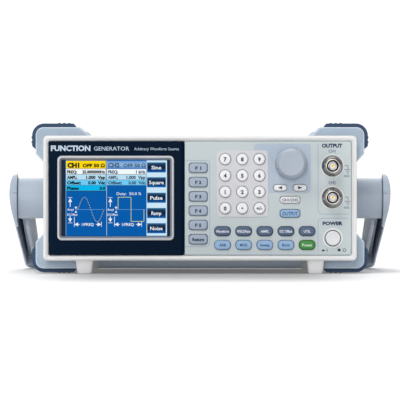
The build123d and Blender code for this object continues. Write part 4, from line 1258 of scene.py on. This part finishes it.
@dataclass
class FrontPrinting:
    """Overlay plate, its raised collars, and everything printed on the front."""

    surface: float = PLATE_FACE
    window: float = WINDOW_FACE
    knob: Extent = field(default_factory=lambda: Extent.of("encoder_knob"))
    power: Extent = field(default_factory=lambda: Extent.of("power_button"))
    panel: Extent = field(default_factory=lambda: Extent.of("front_panel"))

    def overlay(self) -> Overlay:
        """Plate finish with the printed field round the knob and its keys."""
        left, right = self.knob.centre[0] - 25.6, self.knob.centre[0] + 13.8
        low, high = Extent.of("key_channel_select").centre[1] + 4.6, self.panel.high - 1.6
        corner = 2.5
        return Overlay("panel_pale", paint(198, 208, 210), 0.45, 2200, 0.000008, 0.012, 0.012,
                       field_colour=paint(178, 192, 208), corner=corner * MM,
                       middle=((left + right) / 2 * MM, (low + high) / 2 * MM),
                       half=(((right - left) / 2 - corner) * MM, ((high - low) / 2 - corner) * MM))

    def collars(self, sockets: Sockets) -> None:
        """Raised rings round the two front sockets and the power button."""
        rings = Casting()
        front = self.surface - 0.55
        for x, z, _, direction in sockets.places():
            if direction > 0:
                section = rounded_path([(7.35, self.surface + 0.3), (8.15, self.surface + 0.3),
                                        (8.15, front), (7.35, front)], 0.25)
                rings.grid(turned(section, (x, z), sides=72), looped=True)
        section = rounded_path([(5.75, self.surface + 1.5), (7.05, self.surface + 1.5), (7.05, front),
                                (5.75, front)], 0.4)
        rings.grid(turned(section, self.power.centre, sides=72), looped=True)
        rings.make("front_collars", [Palette.ivory], "case", "panel_pale")

    def lines(self, art: Casting) -> None:
        """Fine lines that group the controls."""
        left, right, low, wide = self.panel.left, self.panel.right, self.panel.low, 0.55
        split = self.power.centre[0] - 10.2
        outlines = (([(left, 78.4), (6.7, 78.4), (6.7, 18.8), (left, 18.8)], 2.4, 4, wide),
                    ([(split, self.panel.high - 1.4), (split, 41.3), (right - 1.2, 41.3)], 3.0, 8, wide),
                    ([(right - 1.4, 38.3), (split, 38.3), (split, low + 2.0)], 3.0, 8, wide),
                    ([(left, low + 0.5), (right - 0.4, low + 0.5), (right - 0.4, low + 5)], 1.6, 4, 0.35))
        for corners, radius, steps, width in outlines:
            path = rounded_path(corners, radius, closed=False, steps=steps)
            art.stroke(path, width, self.surface, tint=Ink.line)

    def socket_marks(self, art: Casting) -> None:
        """Channel names, ground signs and impedance beside each front socket."""
        for name, drop in (("CH1", 0.0), ("CH2", 21.9)):
            place = (91.4, 84.9 - drop)
            art.letters(name, place, 2.1, self.surface, 5.0, weight=0.02, tint=Ink.soft)
            for path in (((100.1, 74.9), (102.4, 74.9), (102.4, 72.0)), ((100.0, 72.0), (104.1, 72.0)),
                         ((100.9, 70.8), (103.5, 70.8)), ((101.6, 69.7), (102.9, 69.7))):
                points = np.array(path) - (0, drop)
                for first, second in zip(points, points[1:]):
                    art.stroke(np.array([first, second]), 0.35, self.surface, tint=Ink.soft)
            art.letters("50Ω", (101.5, 67.7 - drop), 1.5, self.surface, 3.8, weight=0.015, tint=Ink.soft)

    def power_marks(self, art: Casting) -> None:
        """Name of the power switch and its on and off signs."""
        x, z = self.power.centre[0], self.panel.low + 3.3
        dome = lambda middle, tall: rounded_path(
            [(middle - 1, z - 0.7), (middle + 1, z - 0.7), (middle + 1, z + tall), (middle - 1, z + tall)],
            [0.02, 0.02, 0.6, 0.6])
        for shift, tall in ((-6.6, 0.5), (4.4, 1.1)):
            art.slab(dome(x + shift, tall), self.surface - INK_PROUD, self.surface + INK_BURIED,
                     tint=Ink.dark)
        art.stroke(np.array([(x - 4.0, z - 1.0), (x - 4.0, z + 1.0)]), 0.45, self.surface, tint=Ink.dark)
        art.stroke(circle((x + 8.0, z + 0.1), 1.0, 32), 0.4, self.surface, closed=True, tint=Ink.dark)

    def build(self, sockets: Sockets) -> None:
        """Dresses the plate and prints on it and on the window."""
        dress("front_panel", self.overlay())
        self.collars(sockets)
        art = Casting()
        self.lines(art)
        self.socket_marks(art)
        self.power_marks(art)
        art.letters("OUTPUT", (91.4, 88.8), 2.9, self.surface, 14.2, weight=0.06, tint=Ink.dark)
        art.letters("POWER", (91.8, 35.0), 2.6, self.surface, 14.0, weight=0.06, tint=Ink.dark)
        art.make("panel_printing", [Palette.ink], "case", "panel_pale")
        title = Casting()
        left = Extent.of("display_window").left
        title.letters("FUNCTION", (left + 1.4, 87.0), 3.9, self.window, 27.4, 0.0, 0.045, Ink.title)
        title.letters("GENERATOR", (left + 31.2, 86.6), 2.7, self.window, 24.4, 0.0, 0.005, Ink.title)
        title.letters("Arbitrary Waveform Source", (-14.6, 86.4), 2.0, self.window, 31.0, 1.0, 0.0,
                      Ink.title)
        title.make("window_printing", [Palette.ink], "case", "window_navy")


# ---------------------------------------------------------------- case furniture
@dataclass
class CornerGuards:
    """Moulded guards on the case's four long edges, front and rear, with rubber strips.

    Outlines are drawn in the quarter to the upper right of the middle and mirrored.
    """

    node: Extent = field(default_factory=lambda: Extent.of("corner_guards"))
    case: Extent = field(default_factory=lambda: Extent.of("top_cover"))
    rubber: Extent = field(default_factory=lambda: Extent.of("guard_rubbers"))
    length: float = 30.0
    strip_inset: float = 4.0
    screw: Point = (109.9, 44.9)
    pocket: float = 3.2
    rib_radius: float = 0.8
    rib_sink: float = 0.3

    def outline(self) -> np.ndarray:
        """L-shaped outline of a guard, from the middle of the instrument."""
        half = (self.node.high - self.node.low) / 2
        side, lid = self.case.right, (self.case.high - self.case.low) / 2
        outer = self.node.right
        corners = [(74.6, lid), (side, lid), (side, 21.6), (outer, 30.55), (outer, half), (83.3, half)]
        radii = [1.0, 0.3, 1.0, 1.2, 5.5, 1.2]
        return densify(rounded_path(corners, radii, steps=9), 1.0)

    def strip(self) -> np.ndarray:
        """Outline of a rubber strip with its cross ribs.

        Formula: near a rib's middle the outer line rises by sqrt(r^2 - distance^2) less the sink.
        """
        rise = self.rib_radius - self.rib_sink
        wide, tall = self.rubber.right - rise, (self.rubber.high - self.rubber.low) / 2 - rise
        side, top = self.node.right - 0.25, (self.node.high - self.node.low) / 2 - 0.25
        corners = [(85.6, top), (side, top), (side, 33.3), (wide, 36.05), (wide, tall), (88.1, tall)]
        loop = densify(rounded_path(corners, [0.2, 5.0, 0.2, 0.5, 8.4, 0.5], steps=10), 0.22)
        on_top = np.abs(loop[:, 1] - tall) < 0.01
        on_side = np.abs(loop[:, 0] - wide) < 0.01
        loop[:, 1] += on_top * self.ribs(loop[:, 0], (97.9, 94.5, 91.1))
        loop[:, 0] += on_side * self.ribs(loop[:, 1], (42.1, 38.7))
        return loop

    def ribs(self, place: np.ndarray, middles: Sequence[float]) -> np.ndarray:
        """Height of the ribs at each place."""
        off = np.abs(place[:, None] - np.array(middles)).min(1)
        round_top = np.sqrt(np.clip(self.rib_radius ** 2 - off ** 2, 0, None))
        return np.clip(round_top - self.rib_sink, 0, None)

    def guard(self, part: Casting, side: int, level: int, front: float) -> None:
        """One guard: rounded front edge with a painted highlight, walls, rear face with its screw pocket.

        Formula: the front and rear faces run from the outline in to a circle, each outline point
        going to the circle's point at the same bearing from the screw.
        """
        loop, back = self.outline(), front + self.length
        off = loop - self.screw
        bearing = off / np.linalg.norm(off, axis=1, keepdims=True)
        floor = back - self.pocket
        well = [(1.6, floor), (2.8, floor), (2.8, back - 0.2), (3.0, back)]
        stack = [(self.screw + radius * bearing, depth) for radius, depth in well]
        stack += [(inset(loop, 0.5), back), (inset(loop, 0.12), back - 0.15), (loop, back - 0.6)]
        plain = len(stack) - 1
        bevel = 0.65
        for angle in np.linspace(0, np.pi / 2, 6):
            stack.append((inset(loop, bevel * (1 - math.cos(angle))),
                          front + bevel * (1 - math.sin(angle))))
        rim = stack[-1][0] - self.screw
        stack += [(self.screw + share * rim, front) for share in (0.98, 0.6, 0.3)]
        stack.append((self.screw + 0.5 * bearing, front))
        rings = self.placed(stack, side, level)
        # The rounded front edge and a thin rim of the front face take the lighter finish, a painted
        # highlight.
        bands = np.arange(len(rings) - 1)
        part.grid(rings, finish=((bands > plain) & (bands < len(rings) - 4)).astype(int))

    def band(self, part: Casting, side: int, level: int, front: float) -> None:
        """One rubber strip with softened ends."""
        loop = self.strip()
        start, stop = front + self.strip_inset, front + self.length - self.strip_inset
        stack = [(inset(loop, 0.22), start), (inset(loop, 0.06), start + 0.1), (loop, start + 0.4),
                 (loop, stop - 0.4), (inset(loop, 0.06), stop - 0.1), (inset(loop, 0.22), stop)]
        part.grid(self.placed(stack, side, level))

    def placed(self, stack: list[tuple[np.ndarray, float]], side: int, level: int) -> list[np.ndarray]:
        """Rings of a stack of (outline, depth), mirrored to their edge of the case."""
        middle = (0, self.case.centre[1])
        return [at_depth(shape * (side, level) + middle, depth) for shape, depth in stack]

    def build(self) -> None:
        """Makes the eight guards and the eight strips."""
        guards, strips = Casting(), Casting()
        for front in (self.node.front, self.node.back - self.length):
            for side in (-1, 1):
                for level in (-1, 1):
                    self.guard(guards, side, level, front)
                    self.band(strips, side, level, front)
        guards.make("guard_shells", [Palette.guard, Palette.guard_edge], "case", "guard_blue",
                    ["corner_guards"])
        strips.make("guard_strips", [Palette.rubber], "case", "guard_rubber", ["guard_rubbers"])


@dataclass
class Feet:
    """Four tapered feet whose front faces bulge between two side flats."""

    reach: float = 80.0
    top_width: float = 12.2
    low_width: float = 9.9
    length: float = 11.0
    node: Extent = field(default_factory=lambda: Extent.of("feet"))

    def foot(self, part: Casting, x: float, front: float, top: float) -> None:
        """One foot as a stack of rings up its height.

        Formula: half width and half length run straight from the top size to the lower size;
        the front and rear faces bulge by a fourth power of the distance from the middle.
        """
        levels = np.array([0.0, 0.25, 0.7, top * 0.4, top * 0.7, top * 0.9, top + 0.1])
        for_edge = np.array([0.7, 0.2, 0, 0, 0, 0, 0])
        share = levels / top
        rings = []
        for level, edge, up in zip(levels, for_edge, share):
            half_x = (self.low_width + (self.top_width - self.low_width) * up) / 2 - edge
            half_y = (self.length - 2 + 2 * up) / 2 - edge
            loop = densify(rounded_box((0, 0), 2 * half_x, 2 * half_y, 0.9), 0.6)
            fall = 0.9 * np.abs(loop[:, 0] / half_x) ** 4
            loop[:, 1] -= np.sign(loop[:, 1]) * fall * (np.abs(loop[:, 1]) > half_y - 1.0)
            depth = front + self.length / 2 + loop[:, 1]
            rings.append(np.column_stack([x + loop[:, 0], depth, np.full(len(loop), level)]))
        part.grid(self.even(rings))

    @staticmethod
    def even(rings: list[np.ndarray], count: int = 64) -> np.ndarray:
        """Rings resampled to one count of points, evenly round each."""
        out = []
        for ring in rings:
            closed = np.vstack([ring, ring[:1]])
            travel = np.concatenate([[0], np.cumsum(np.linalg.norm(np.diff(closed, axis=0), axis=1))])
            places = np.linspace(0, travel[-1], count, endpoint=False)
            out.append(np.column_stack([np.interp(places, travel, closed[:, k]) for k in range(3)]))
        return np.stack(out)

    def build(self) -> None:
        """Makes the two front feet and the two rear feet."""
        part = Casting()
        bezel, case = Extent.of("front_bezel"), Extent.of("top_cover")
        for x in (-self.reach, self.reach):
            self.foot(part, x, self.node.front, bezel.low)
            self.foot(part, x, self.node.back - self.length, case.low)
        part.make("foot_set", [Palette.foot], "case", "foot_white", ["feet"])


@dataclass
class CarryHandle:
    """Swing handle: crowned channel arms with round end plates, and a rounded grip bar.

    Drawn with the pivot at nothing, as x and the places along and across the arms, then turned
    down to its rest angle.

    Attributes:
        reach: from the pivot to the far face of the grip bar.
        plate_radius: radius of the arms' round ends.
        grip_thick: thickness of the grip bar along the arms.
        grip_wide: its size across the arms.
        grip_corner: radius of its rounding.
        inner: x of the arms' inner walls.
        outer: x of the end plates' outer faces.
        outer_at_grip: x of the outer faces at the grip.
        crown: radius of the circle that the outer faces are crowned by.
        wall: thickness of the walls.
        web: thickness of the web that joins them.
        relief: radius that the channel keeps clear round the hub.
        plate_inner: x of the end plates' inner faces, just clear of the hubs' end faces.
        join: where along the arms the grip's sweep starts.
    """

    reach: float = 202.0
    plate_radius: float = 17.4
    grip_thick: float = 12.0
    grip_wide: float = 22.0
    grip_corner: float = 5.9
    inner: float = 121.0
    outer: float = 134.0
    outer_at_grip: float = 131.3
    crown: float = 55.0
    wall: float = 2.8
    web: float = 3.0
    relief: float = 21.5
    plate_inner: float = 129.1
    join: float = 178.0
    node: Extent = field(default_factory=lambda: Extent.of("carry_handle"))
    hubs: Extent = field(default_factory=lambda: Extent.of("pivot_hubs"))

    def __post_init__(self) -> None:
        """Works out the angle at which the grip bar lies on the bench."""
        self.pivot = ((self.hubs.front + self.hubs.back) / 2, self.hubs.centre[1])
        along = self.reach - self.grip_corner
        across = self.grip_wide / 2 - self.grip_corner
        drop = math.asin((self.pivot[1] - self.grip_corner) / math.hypot(along, across))
        self.tilt = drop - math.atan2(across, along)

    def laid(self, x: np.ndarray, along: np.ndarray, across: np.ndarray) -> np.ndarray:
        """Places handle points: along and across turned down by the tilt about the pivot."""
        x, along, across = np.broadcast_arrays(x, along, across)
        depth = self.pivot[0] + along * math.cos(self.tilt) + across * math.sin(self.tilt)
        z = self.pivot[1] - along * math.sin(self.tilt) + across * math.cos(self.tilt)
        return np.stack([x, depth, z], -1)

    def half(self, along: np.ndarray) -> np.ndarray:
        """Half width of an arm: the round end, then a straight taper to the grip."""
        end = np.sqrt(np.clip(self.plate_radius ** 2 - along ** 2, 0.01, None))
        slope = (self.plate_radius - self.grip_wide / 2) / (self.reach - self.grip_thick / 2)
        taper = self.plate_radius - slope * along
        return np.where(along < 0.57, end, np.maximum(taper, self.grip_wide / 2))

    def face(self, along: np.ndarray, across: np.ndarray) -> np.ndarray:
        """Outer face: it leans in towards the grip and is crowned by a circle across the arm."""
        lean = self.outer - (self.outer - self.outer_at_grip) * along / self.reach
        return lean - (self.crown - np.sqrt(self.crown ** 2 - across ** 2))

    def skin(self, part: Casting, side: int) -> None:
        """Outer wall from the round end to the grip, thicker at the end plate."""
        turn = np.linspace(0, np.pi / 2, 24)
        along = np.concatenate([-self.plate_radius * np.cos(turn), np.linspace(4, self.join, 24)])[:, None]
        half = self.half(along)
        soft = np.minimum(0.9, 0.45 * half)
        spread = np.linspace(-1, 1, 15)
        outer_t = (half - soft) * spread
        angle = np.linspace(0, np.pi / 2, 5)[1:-1]
        thick = np.where(along < 23, self.face(along, 0 * along) - self.plate_inner, self.wall + 0 * along)
        back = self.face(along, 0 * along) - thick
        upper_t = half - soft * (1 - np.cos(angle))[::-1]
        upper_x = self.face(along, half) - soft * (1 - np.sin(angle)[::-1]) + 0 * upper_t
        rows_x = [self.face(along, outer_t), upper_x, self.face(along, half) - soft, back + 0.3, back,
                  back + 0 * half, back + 0.3, self.face(along, half) - soft, upper_x[:, ::-1]]
        rows_t = [outer_t, upper_t, half, half, half - 0.3, -half + 0.3, -half, -half,
                  -upper_t[:, ::-1]]
        x, across = np.hstack(rows_x), np.hstack(rows_t)
        part.grid(self.laid(side * x, along, across))

    def channel(self, part: Casting, side: int) -> None:
        """Inner wall and web as one L-shaped section, and the rib under the web.

        Formula: each point starts on the circle that clears the hub,
        along = sqrt(relief^2 - across^2), and runs straight to the grip.
        """
        inner, join = self.inner, self.join
        far = self.half(np.array([join]))[0]
        near = self.half(np.array([0.6]))[0]
        shapes = []
        for half, outer in ((near, self.outer - self.wall), (far, self.outer_at_grip - self.wall + 0.3)):
            top, under = half - 0.08, half - self.web
            corners = [(inner, -top), (inner + self.wall, -top), (inner + self.wall, under),
                       (outer + 0.6, under), (outer + 0.6, top), (inner, top)]
            shapes.append(densify(rounded_path(corners, [0.7, 0.7, 0.8, 0.1, 0.1, 0.9]), 400.0))
        share = np.linspace(0, 1, 16)[:, None]
        t_near = shapes[0][:, 1]
        start = np.sqrt(np.clip(self.relief ** 2 - t_near ** 2, 0, None))
        along = start + share * (join - start)
        part_way = along / join
        x = shapes[0][:, 0] + part_way * (shapes[1][:, 0] - shapes[0][:, 0])
        across = t_near + part_way * (shapes[1][:, 1] - t_near)
        part.grid(self.laid(side * x, along, across))
        rib_x, rib_half, rib_low = inner + self.wall + 2.4, 1.2, -5.0
        along = np.linspace(self.relief + 3, join, 8)[:, None]
        under = self.half(along) - self.web + 0.5
        x = np.array([-rib_half, rib_half, rib_half, -rib_half]) + rib_x + 0 * along
        across = np.hstack([0 * along + rib_low, 0 * along + rib_low, under, under])
        part.grid(self.laid(side * x, along, across))

    def grip(self, part: Casting) -> None:
        """Grip bar and its two corners in one sweep.

        Formula: an outer and an inner plan line with the same number of points give each
        section's middle and thickness; the section's corner radius grows from the arm's small
        edge to the bar's full rounding as the path turns.
        """
        far, near, start = self.reach, self.reach - self.grip_thick, self.join - 0.4
        edge = self.face(np.array([start]), np.array([0.0]))[0]
        outer = rounded_path([(-edge, start), (-self.outer_at_grip, far), (self.outer_at_grip, far),
                              (edge, start)], 9.0, closed=False, steps=14)
        inner = rounded_path([(-self.inner, start), (-self.inner, near), (self.inner, near),
                              (self.inner, start)], 5.0, closed=False, steps=14)
        extra = np.linspace(0, 1, 5)[1:-1, None]
        def fill(path: np.ndarray) -> np.ndarray:
            """Adds points on the straight stretches at both ends."""
            return np.vstack([path[:1], path[:1] + extra * (path[1] - path[0]), path[1:-1],
                              path[-2:-1] + extra * (path[-1] - path[-2]), path[-1:]])
        outer, inner = fill(outer), fill(inner)
        middle, reach = (outer + inner) / 2, (outer - inner) / 2
        thick = np.linalg.norm(reach, axis=1)
        ahead = reach / thick[:, None]
        full = smooth_step(np.abs(ahead[:, 1]) * 1.02)
        radius = np.minimum(1.0 + (self.grip_corner - 1.0) * full, thick - 0.05)
        tall = np.maximum(self.half(middle[:, 1]), self.grip_wide / 2)
        turn = np.linspace(0, np.pi / 2, 7)
        quarter = np.stack([np.cos(turn), np.sin(turn)], -1)
        signs = ((1, 1), (-1, 1), (-1, -1), (1, -1))
        rings = []
        for index in range(len(middle)):
            half = np.array([thick[index], tall[index]])
            box = [(half - radius[index]) * sign + radius[index] * quarter[::step] * sign
                   for sign, step in zip(signs, (1, -1, 1, -1))]
            section = np.vstack(box)
            sag = self.crown - np.sqrt(self.crown ** 2 - section[:, 1] ** 2)
            bulge = np.clip(section[:, 0] / thick[index], 0, 1) * (1 - full[index])
            u = section[:, 0] - sag * bulge
            plan = middle[index] + u[:, None] * ahead[index]
            rings.append(self.laid(plan[:, 0], plan[:, 1], section[:, 1]))
        part.grid(rings)

    def build(self) -> None:
        """Makes the handle and the hubs that carry it."""
        part = Casting()
        for side in (-1, 1):
            self.skin(part, side)
            self.channel(part, side)
        self.grip(part)
        part.make("handle_frame", [Palette.handle], "handle", "handle_blue", ["carry_handle"], 38)
        self.build_hubs()

    def build_hubs(self) -> None:
        """Turns the two hubs: base flange, boss with a softened tip, and the pivot pin."""
        hubs = Casting()
        case_side = Extent.of("top_cover").right
        radius, tip, pin, pin_tip = 14.3, 128.8, 4.0, self.hubs.right
        profile = np.vstack([
            [(0.1, case_side - 0.5), (radius, case_side - 0.5)],
            rounded_path([(radius, case_side), (radius, tip), (pin, tip)], 0.9, closed=False, steps=6),
            rounded_path([(pin, tip + 0.01), (pin, pin_tip), (0.1, pin_tip)], 0.5, closed=False)])
        for side in (-1, 1):
            hubs.grid(turned(profile * (1, side), self.pivot, Axis.ACROSS, 96))
        hubs.make("hub_bosses", [Palette.handle], "case", "handle_blue", ["pivot_hubs"], 38)


@dataclass
class Screws:
    """Pan-head screws with cross recesses, and the two hub bolts inside the case."""

    rear: Extent = field(default_factory=lambda: Extent.of("rear_panel"))
    case: Extent = field(default_factory=lambda: Extent.of("top_cover"))
    head: float = 2.6
    rise: float = 1.6

    def head_rings(self, x: float, z: float, face: float, shank: float) -> np.ndarray:
        """Rings of a screw that points to the front.

        Formula: the head is an ellipse in section, and inside the two bars of the cross its
        surface sinks by an eased amount.
        """
        radii = np.linspace(1.0, 0.02, 14)
        turn = np.linspace(0, 2 * np.pi, 64, endpoint=False)
        across = radii[:, None] * self.head * np.cos(turn)
        up = radii[:, None] * self.head * np.sin(turn)
        dome = self.rise * (0.35 + 0.65 * np.sqrt(1 - (radii[:, None] * 0.98) ** 2)) + 0 * across
        arm, half = 1.55, 0.38
        bars = [smooth_step((half - np.abs(a)) / 0.2 + 0.5) * smooth_step((arm - np.abs(b)) / 0.3 + 0.5)
                for a, b in ((across, up), (up, across))]
        dome = dome - 0.75 * np.maximum(*bars)
        head = np.stack([x + across, face + dome, z + up], -1)
        body = np.array([(1.5, face - shank), (1.5, face), (self.head - 0.1, face),
                         (self.head, face + 0.15)])
        return np.concatenate([turned(body, (x, z), sides=64), head])

    def build(self) -> None:
        """Makes the rear panel screws, the guard screws and the hub bolts."""
        part = Casting()
        middle = self.case.centre[1]
        guards = CornerGuards()
        for side in (-1, 1):
            for level in (-1, 1):
                part.grid(self.head_rings(side * 90.0, middle + level * 36.0, self.rear.back, 7.0))
                for back in (guards.node.front + guards.length, guards.node.back):
                    part.grid(self.head_rings(side * guards.screw[0], middle + level * guards.screw[1],
                                              back - guards.pocket, 18.0))
            inner = self.case.right - 1.0
            hub = Extent.of("pivot_hubs")
            bolt = np.array([(0.1, inner - 3), (3.4, inner - 3), (4, inner - 2.4), (4, inner), (2, inner),
                             (2, inner + 13), (0.1, inner + 13)])
            part.grid(turned(bolt * (1, side), ((hub.front + hub.back) / 2, middle), Axis.ACROSS, 24))
        part.make("screw_set", [Palette.steel], "case", "steel", ["screws"])


class CaseAndRear:
    """Painted case, rear panel with its printing, and everything that the case holds."""

    finishes = {"top_cover": Palette.case, "base_chassis": Palette.case, "rear_panel": Palette.rear,
                "fan_frame": Palette.black, "fan_impeller": Palette.black,
                "mains_inlet": Palette.black, "fuse_drawer": Palette.black,
                "usb_ports": Palette.steel}

    def boards(self) -> None:
        """Circuit boards; the front board's parts stand towards the front."""
        green = paint(28, 96, 58)
        for node in ("main_board", "power_supply"):
            level = (Extent.of(node).low + 8.6) * MM
            dress(node, SolderMask(node + "_mask", green, 0.35, 1800, 0.00001, axis=2, level=level))
        level = (12.0 + CREST_Y) * MM
        dress("front_board", SolderMask("front_board_mask", green, 0.35, 1800, 0.00001, axis=1,
                                        level=level, sign=-1))

    def printing(self) -> None:
        """Generic names of the rear connectors."""
        art = Casting()
        panel = Extent.of("rear_panel").back
        names = (("TRIG IN", (-40.0, 82.0)), ("MOD IN", (-18.0, 82.0)), ("SYNC OUT", (4.0, 82.0)),
                 ("HOST", (-38.0, 27.6)), ("DEVICE", (-14.0, 25.4)), ("AC INPUT", (-76.0, 60.4)),
                 ("FUSE", (-76.0, 16.0)))
        for words, place in names:
            art.letters(words, place, 2.0, panel, weight=0.01, tint=Ink.rear, facing=-1)
        for first, second in (((-52.0, 86.0), (16.0, 86.0)), ((-52.0, 61.0), (16.0, 61.0)),
                              ((-52.0, 61.0), (-52.0, 86.0)), ((16.0, 61.0), (16.0, 86.0))):
            path = np.array([first, second])
            art.stroke(path, 0.3, panel + INK_PROUD - INK_BURIED, tint=Ink.rear)
        art.make("rear_printing", [Palette.ink], "case", "rear_paint")

    def build(self) -> None:
        """Dresses the nodes and prints the rear."""
        for node, finish in self.finishes.items():
            dress(node, finish)
        self.boards()
        self.printing()


# ---------------------------------------------------------------- studio
@dataclass
class Studio:
    """Pale floor, soft light and the camera.

    Attributes:
        distance: camera distance in front of the bezel crest, in metres.
        eye: camera height.
        lens: focal length on a 36 mm sensor.
        sky: strength of the light from all round.
        horizon: share of it that comes from the horizon.
    """

    distance: float = 3.2
    eye: float = 0.051
    lens: float = 416.4
    sky: float = 0.3
    horizon: float = 0.35

    def floor(self) -> None:
        """Very wide sheet with a faint unevenness in its gloss, and a painted shadow round the instrument.
        """
        half = 30.0
        mesh = bpy.data.meshes.new("floor")
        mesh.from_pydata([(-half, -half, 0), (half, -half, 0), (half, half, 0), (-half, half, 0)], [],
                         [(0, 1, 2, 3)])
        sheet = bpy.data.objects.new("floor", mesh)
        bpy.context.scene.collection.objects.link(sheet)
        mesh.materials.append(FloorSheet("floor_white_painted_shadow", (0.92, 0.92, 0.925), 0.8, 60, 0.00001,
                                         specular=0.1).material())

    def world(self) -> None:
        """White surroundings: seen white, while lighting the object as a dome.

        Formula: the light from a direction grows straight with its height above the horizon.
        """
        world = bpy.data.worlds.new("studio")
        bpy.context.scene.world = world
        world.use_nodes = True
        nodes, links = world.node_tree.nodes, world.node_tree.links
        back = nodes["Background"]
        back.inputs["Color"].default_value = (0.97, 0.985, 1.0, 1)
        direction = nodes.new("ShaderNodeTexCoord").outputs["Generated"]
        parts = nodes.new("ShaderNodeSeparateXYZ")
        links.new(direction, parts.inputs[0])
        dome = nodes.new("ShaderNodeMapRange")
        dome.inputs["To Min"].default_value = self.sky * self.horizon
        dome.inputs["To Max"].default_value = self.sky * (self.horizon + 1.3)
        links.new(parts.outputs["Z"], dome.inputs["Value"])
        path = nodes.new("ShaderNodeLightPath")
        level = nodes.new("ShaderNodeMapRange")
        level.inputs["To Max"].default_value = 1.1
        links.new(path.outputs["Is Camera Ray"], level.inputs["Value"])
        links.new(dome.outputs["Result"], level.inputs["To Min"])
        links.new(level.outputs["Result"], back.inputs["Strength"])

    def sun(self, name: str, aim: tuple[float, float, float], strength: float, size: float) -> None:
        """A broad distant light.

        Args:
            name: light name.
            aim: direction that it shines in.
            strength: its strength.
            size: its angle across, in degrees.
        """
        light = bpy.data.lights.new(name, "SUN")
        light.energy, light.angle = strength, math.radians(size)
        lamp = bpy.data.objects.new(name, light)
        bpy.context.scene.collection.objects.link(lamp)
        lamp.rotation_euler = Vector(aim).to_track_quat("-Z", "Y").to_euler()

    def camera(self) -> None:
        """Level camera in front of the instrument."""
        data = bpy.data.cameras.new("camera")
        data.lens, data.sensor_width, data.clip_end = self.lens, 36.0, 200.0
        camera = bpy.data.objects.new("camera", data)
        camera.location = (0, CREST_Y * MM - self.distance, self.eye)
        camera.rotation_euler = (math.pi / 2, 0, 0)
        bpy.context.scene.collection.objects.link(camera)
        bpy.context.scene.camera = camera

    def build(self) -> None:
        """Sets up floor, world, lights and camera."""
        self.floor()
        self.world()
        self.sun("overhead", (0.05, -0.3, -1.0), 1.02, 60)
        self.sun("behind", (0.02, -0.87, -0.5), 0.8, 40)
        self.sun("key", (0.25, 0.62, -0.75), 1.0, 30)
        self.sun("fill", (0.1, 0.98, -0.1), 0.95, 25)
        self.camera()
        bpy.context.scene.view_settings.view_transform = "Standard"


def main() -> None:
    """Builds the instrument's sub-assemblies in order, then the studio."""
    logging.basicConfig(level=logging.INFO, format="%(name)s: %(message)s")
    sockets = Sockets()
    FrontBezel().build()
    FrontPrinting().build(sockets)
    Display().build()
    Keyboard().build()
    EncoderKnob().build()
    PowerSwitch().build()
    sockets.build()
    CornerGuards().build()
    Feet().build()
    CarryHandle().build()
    Screws().build()
    CaseAndRear().build()
    Studio().build()


if __name__ == "__main__":
    main()
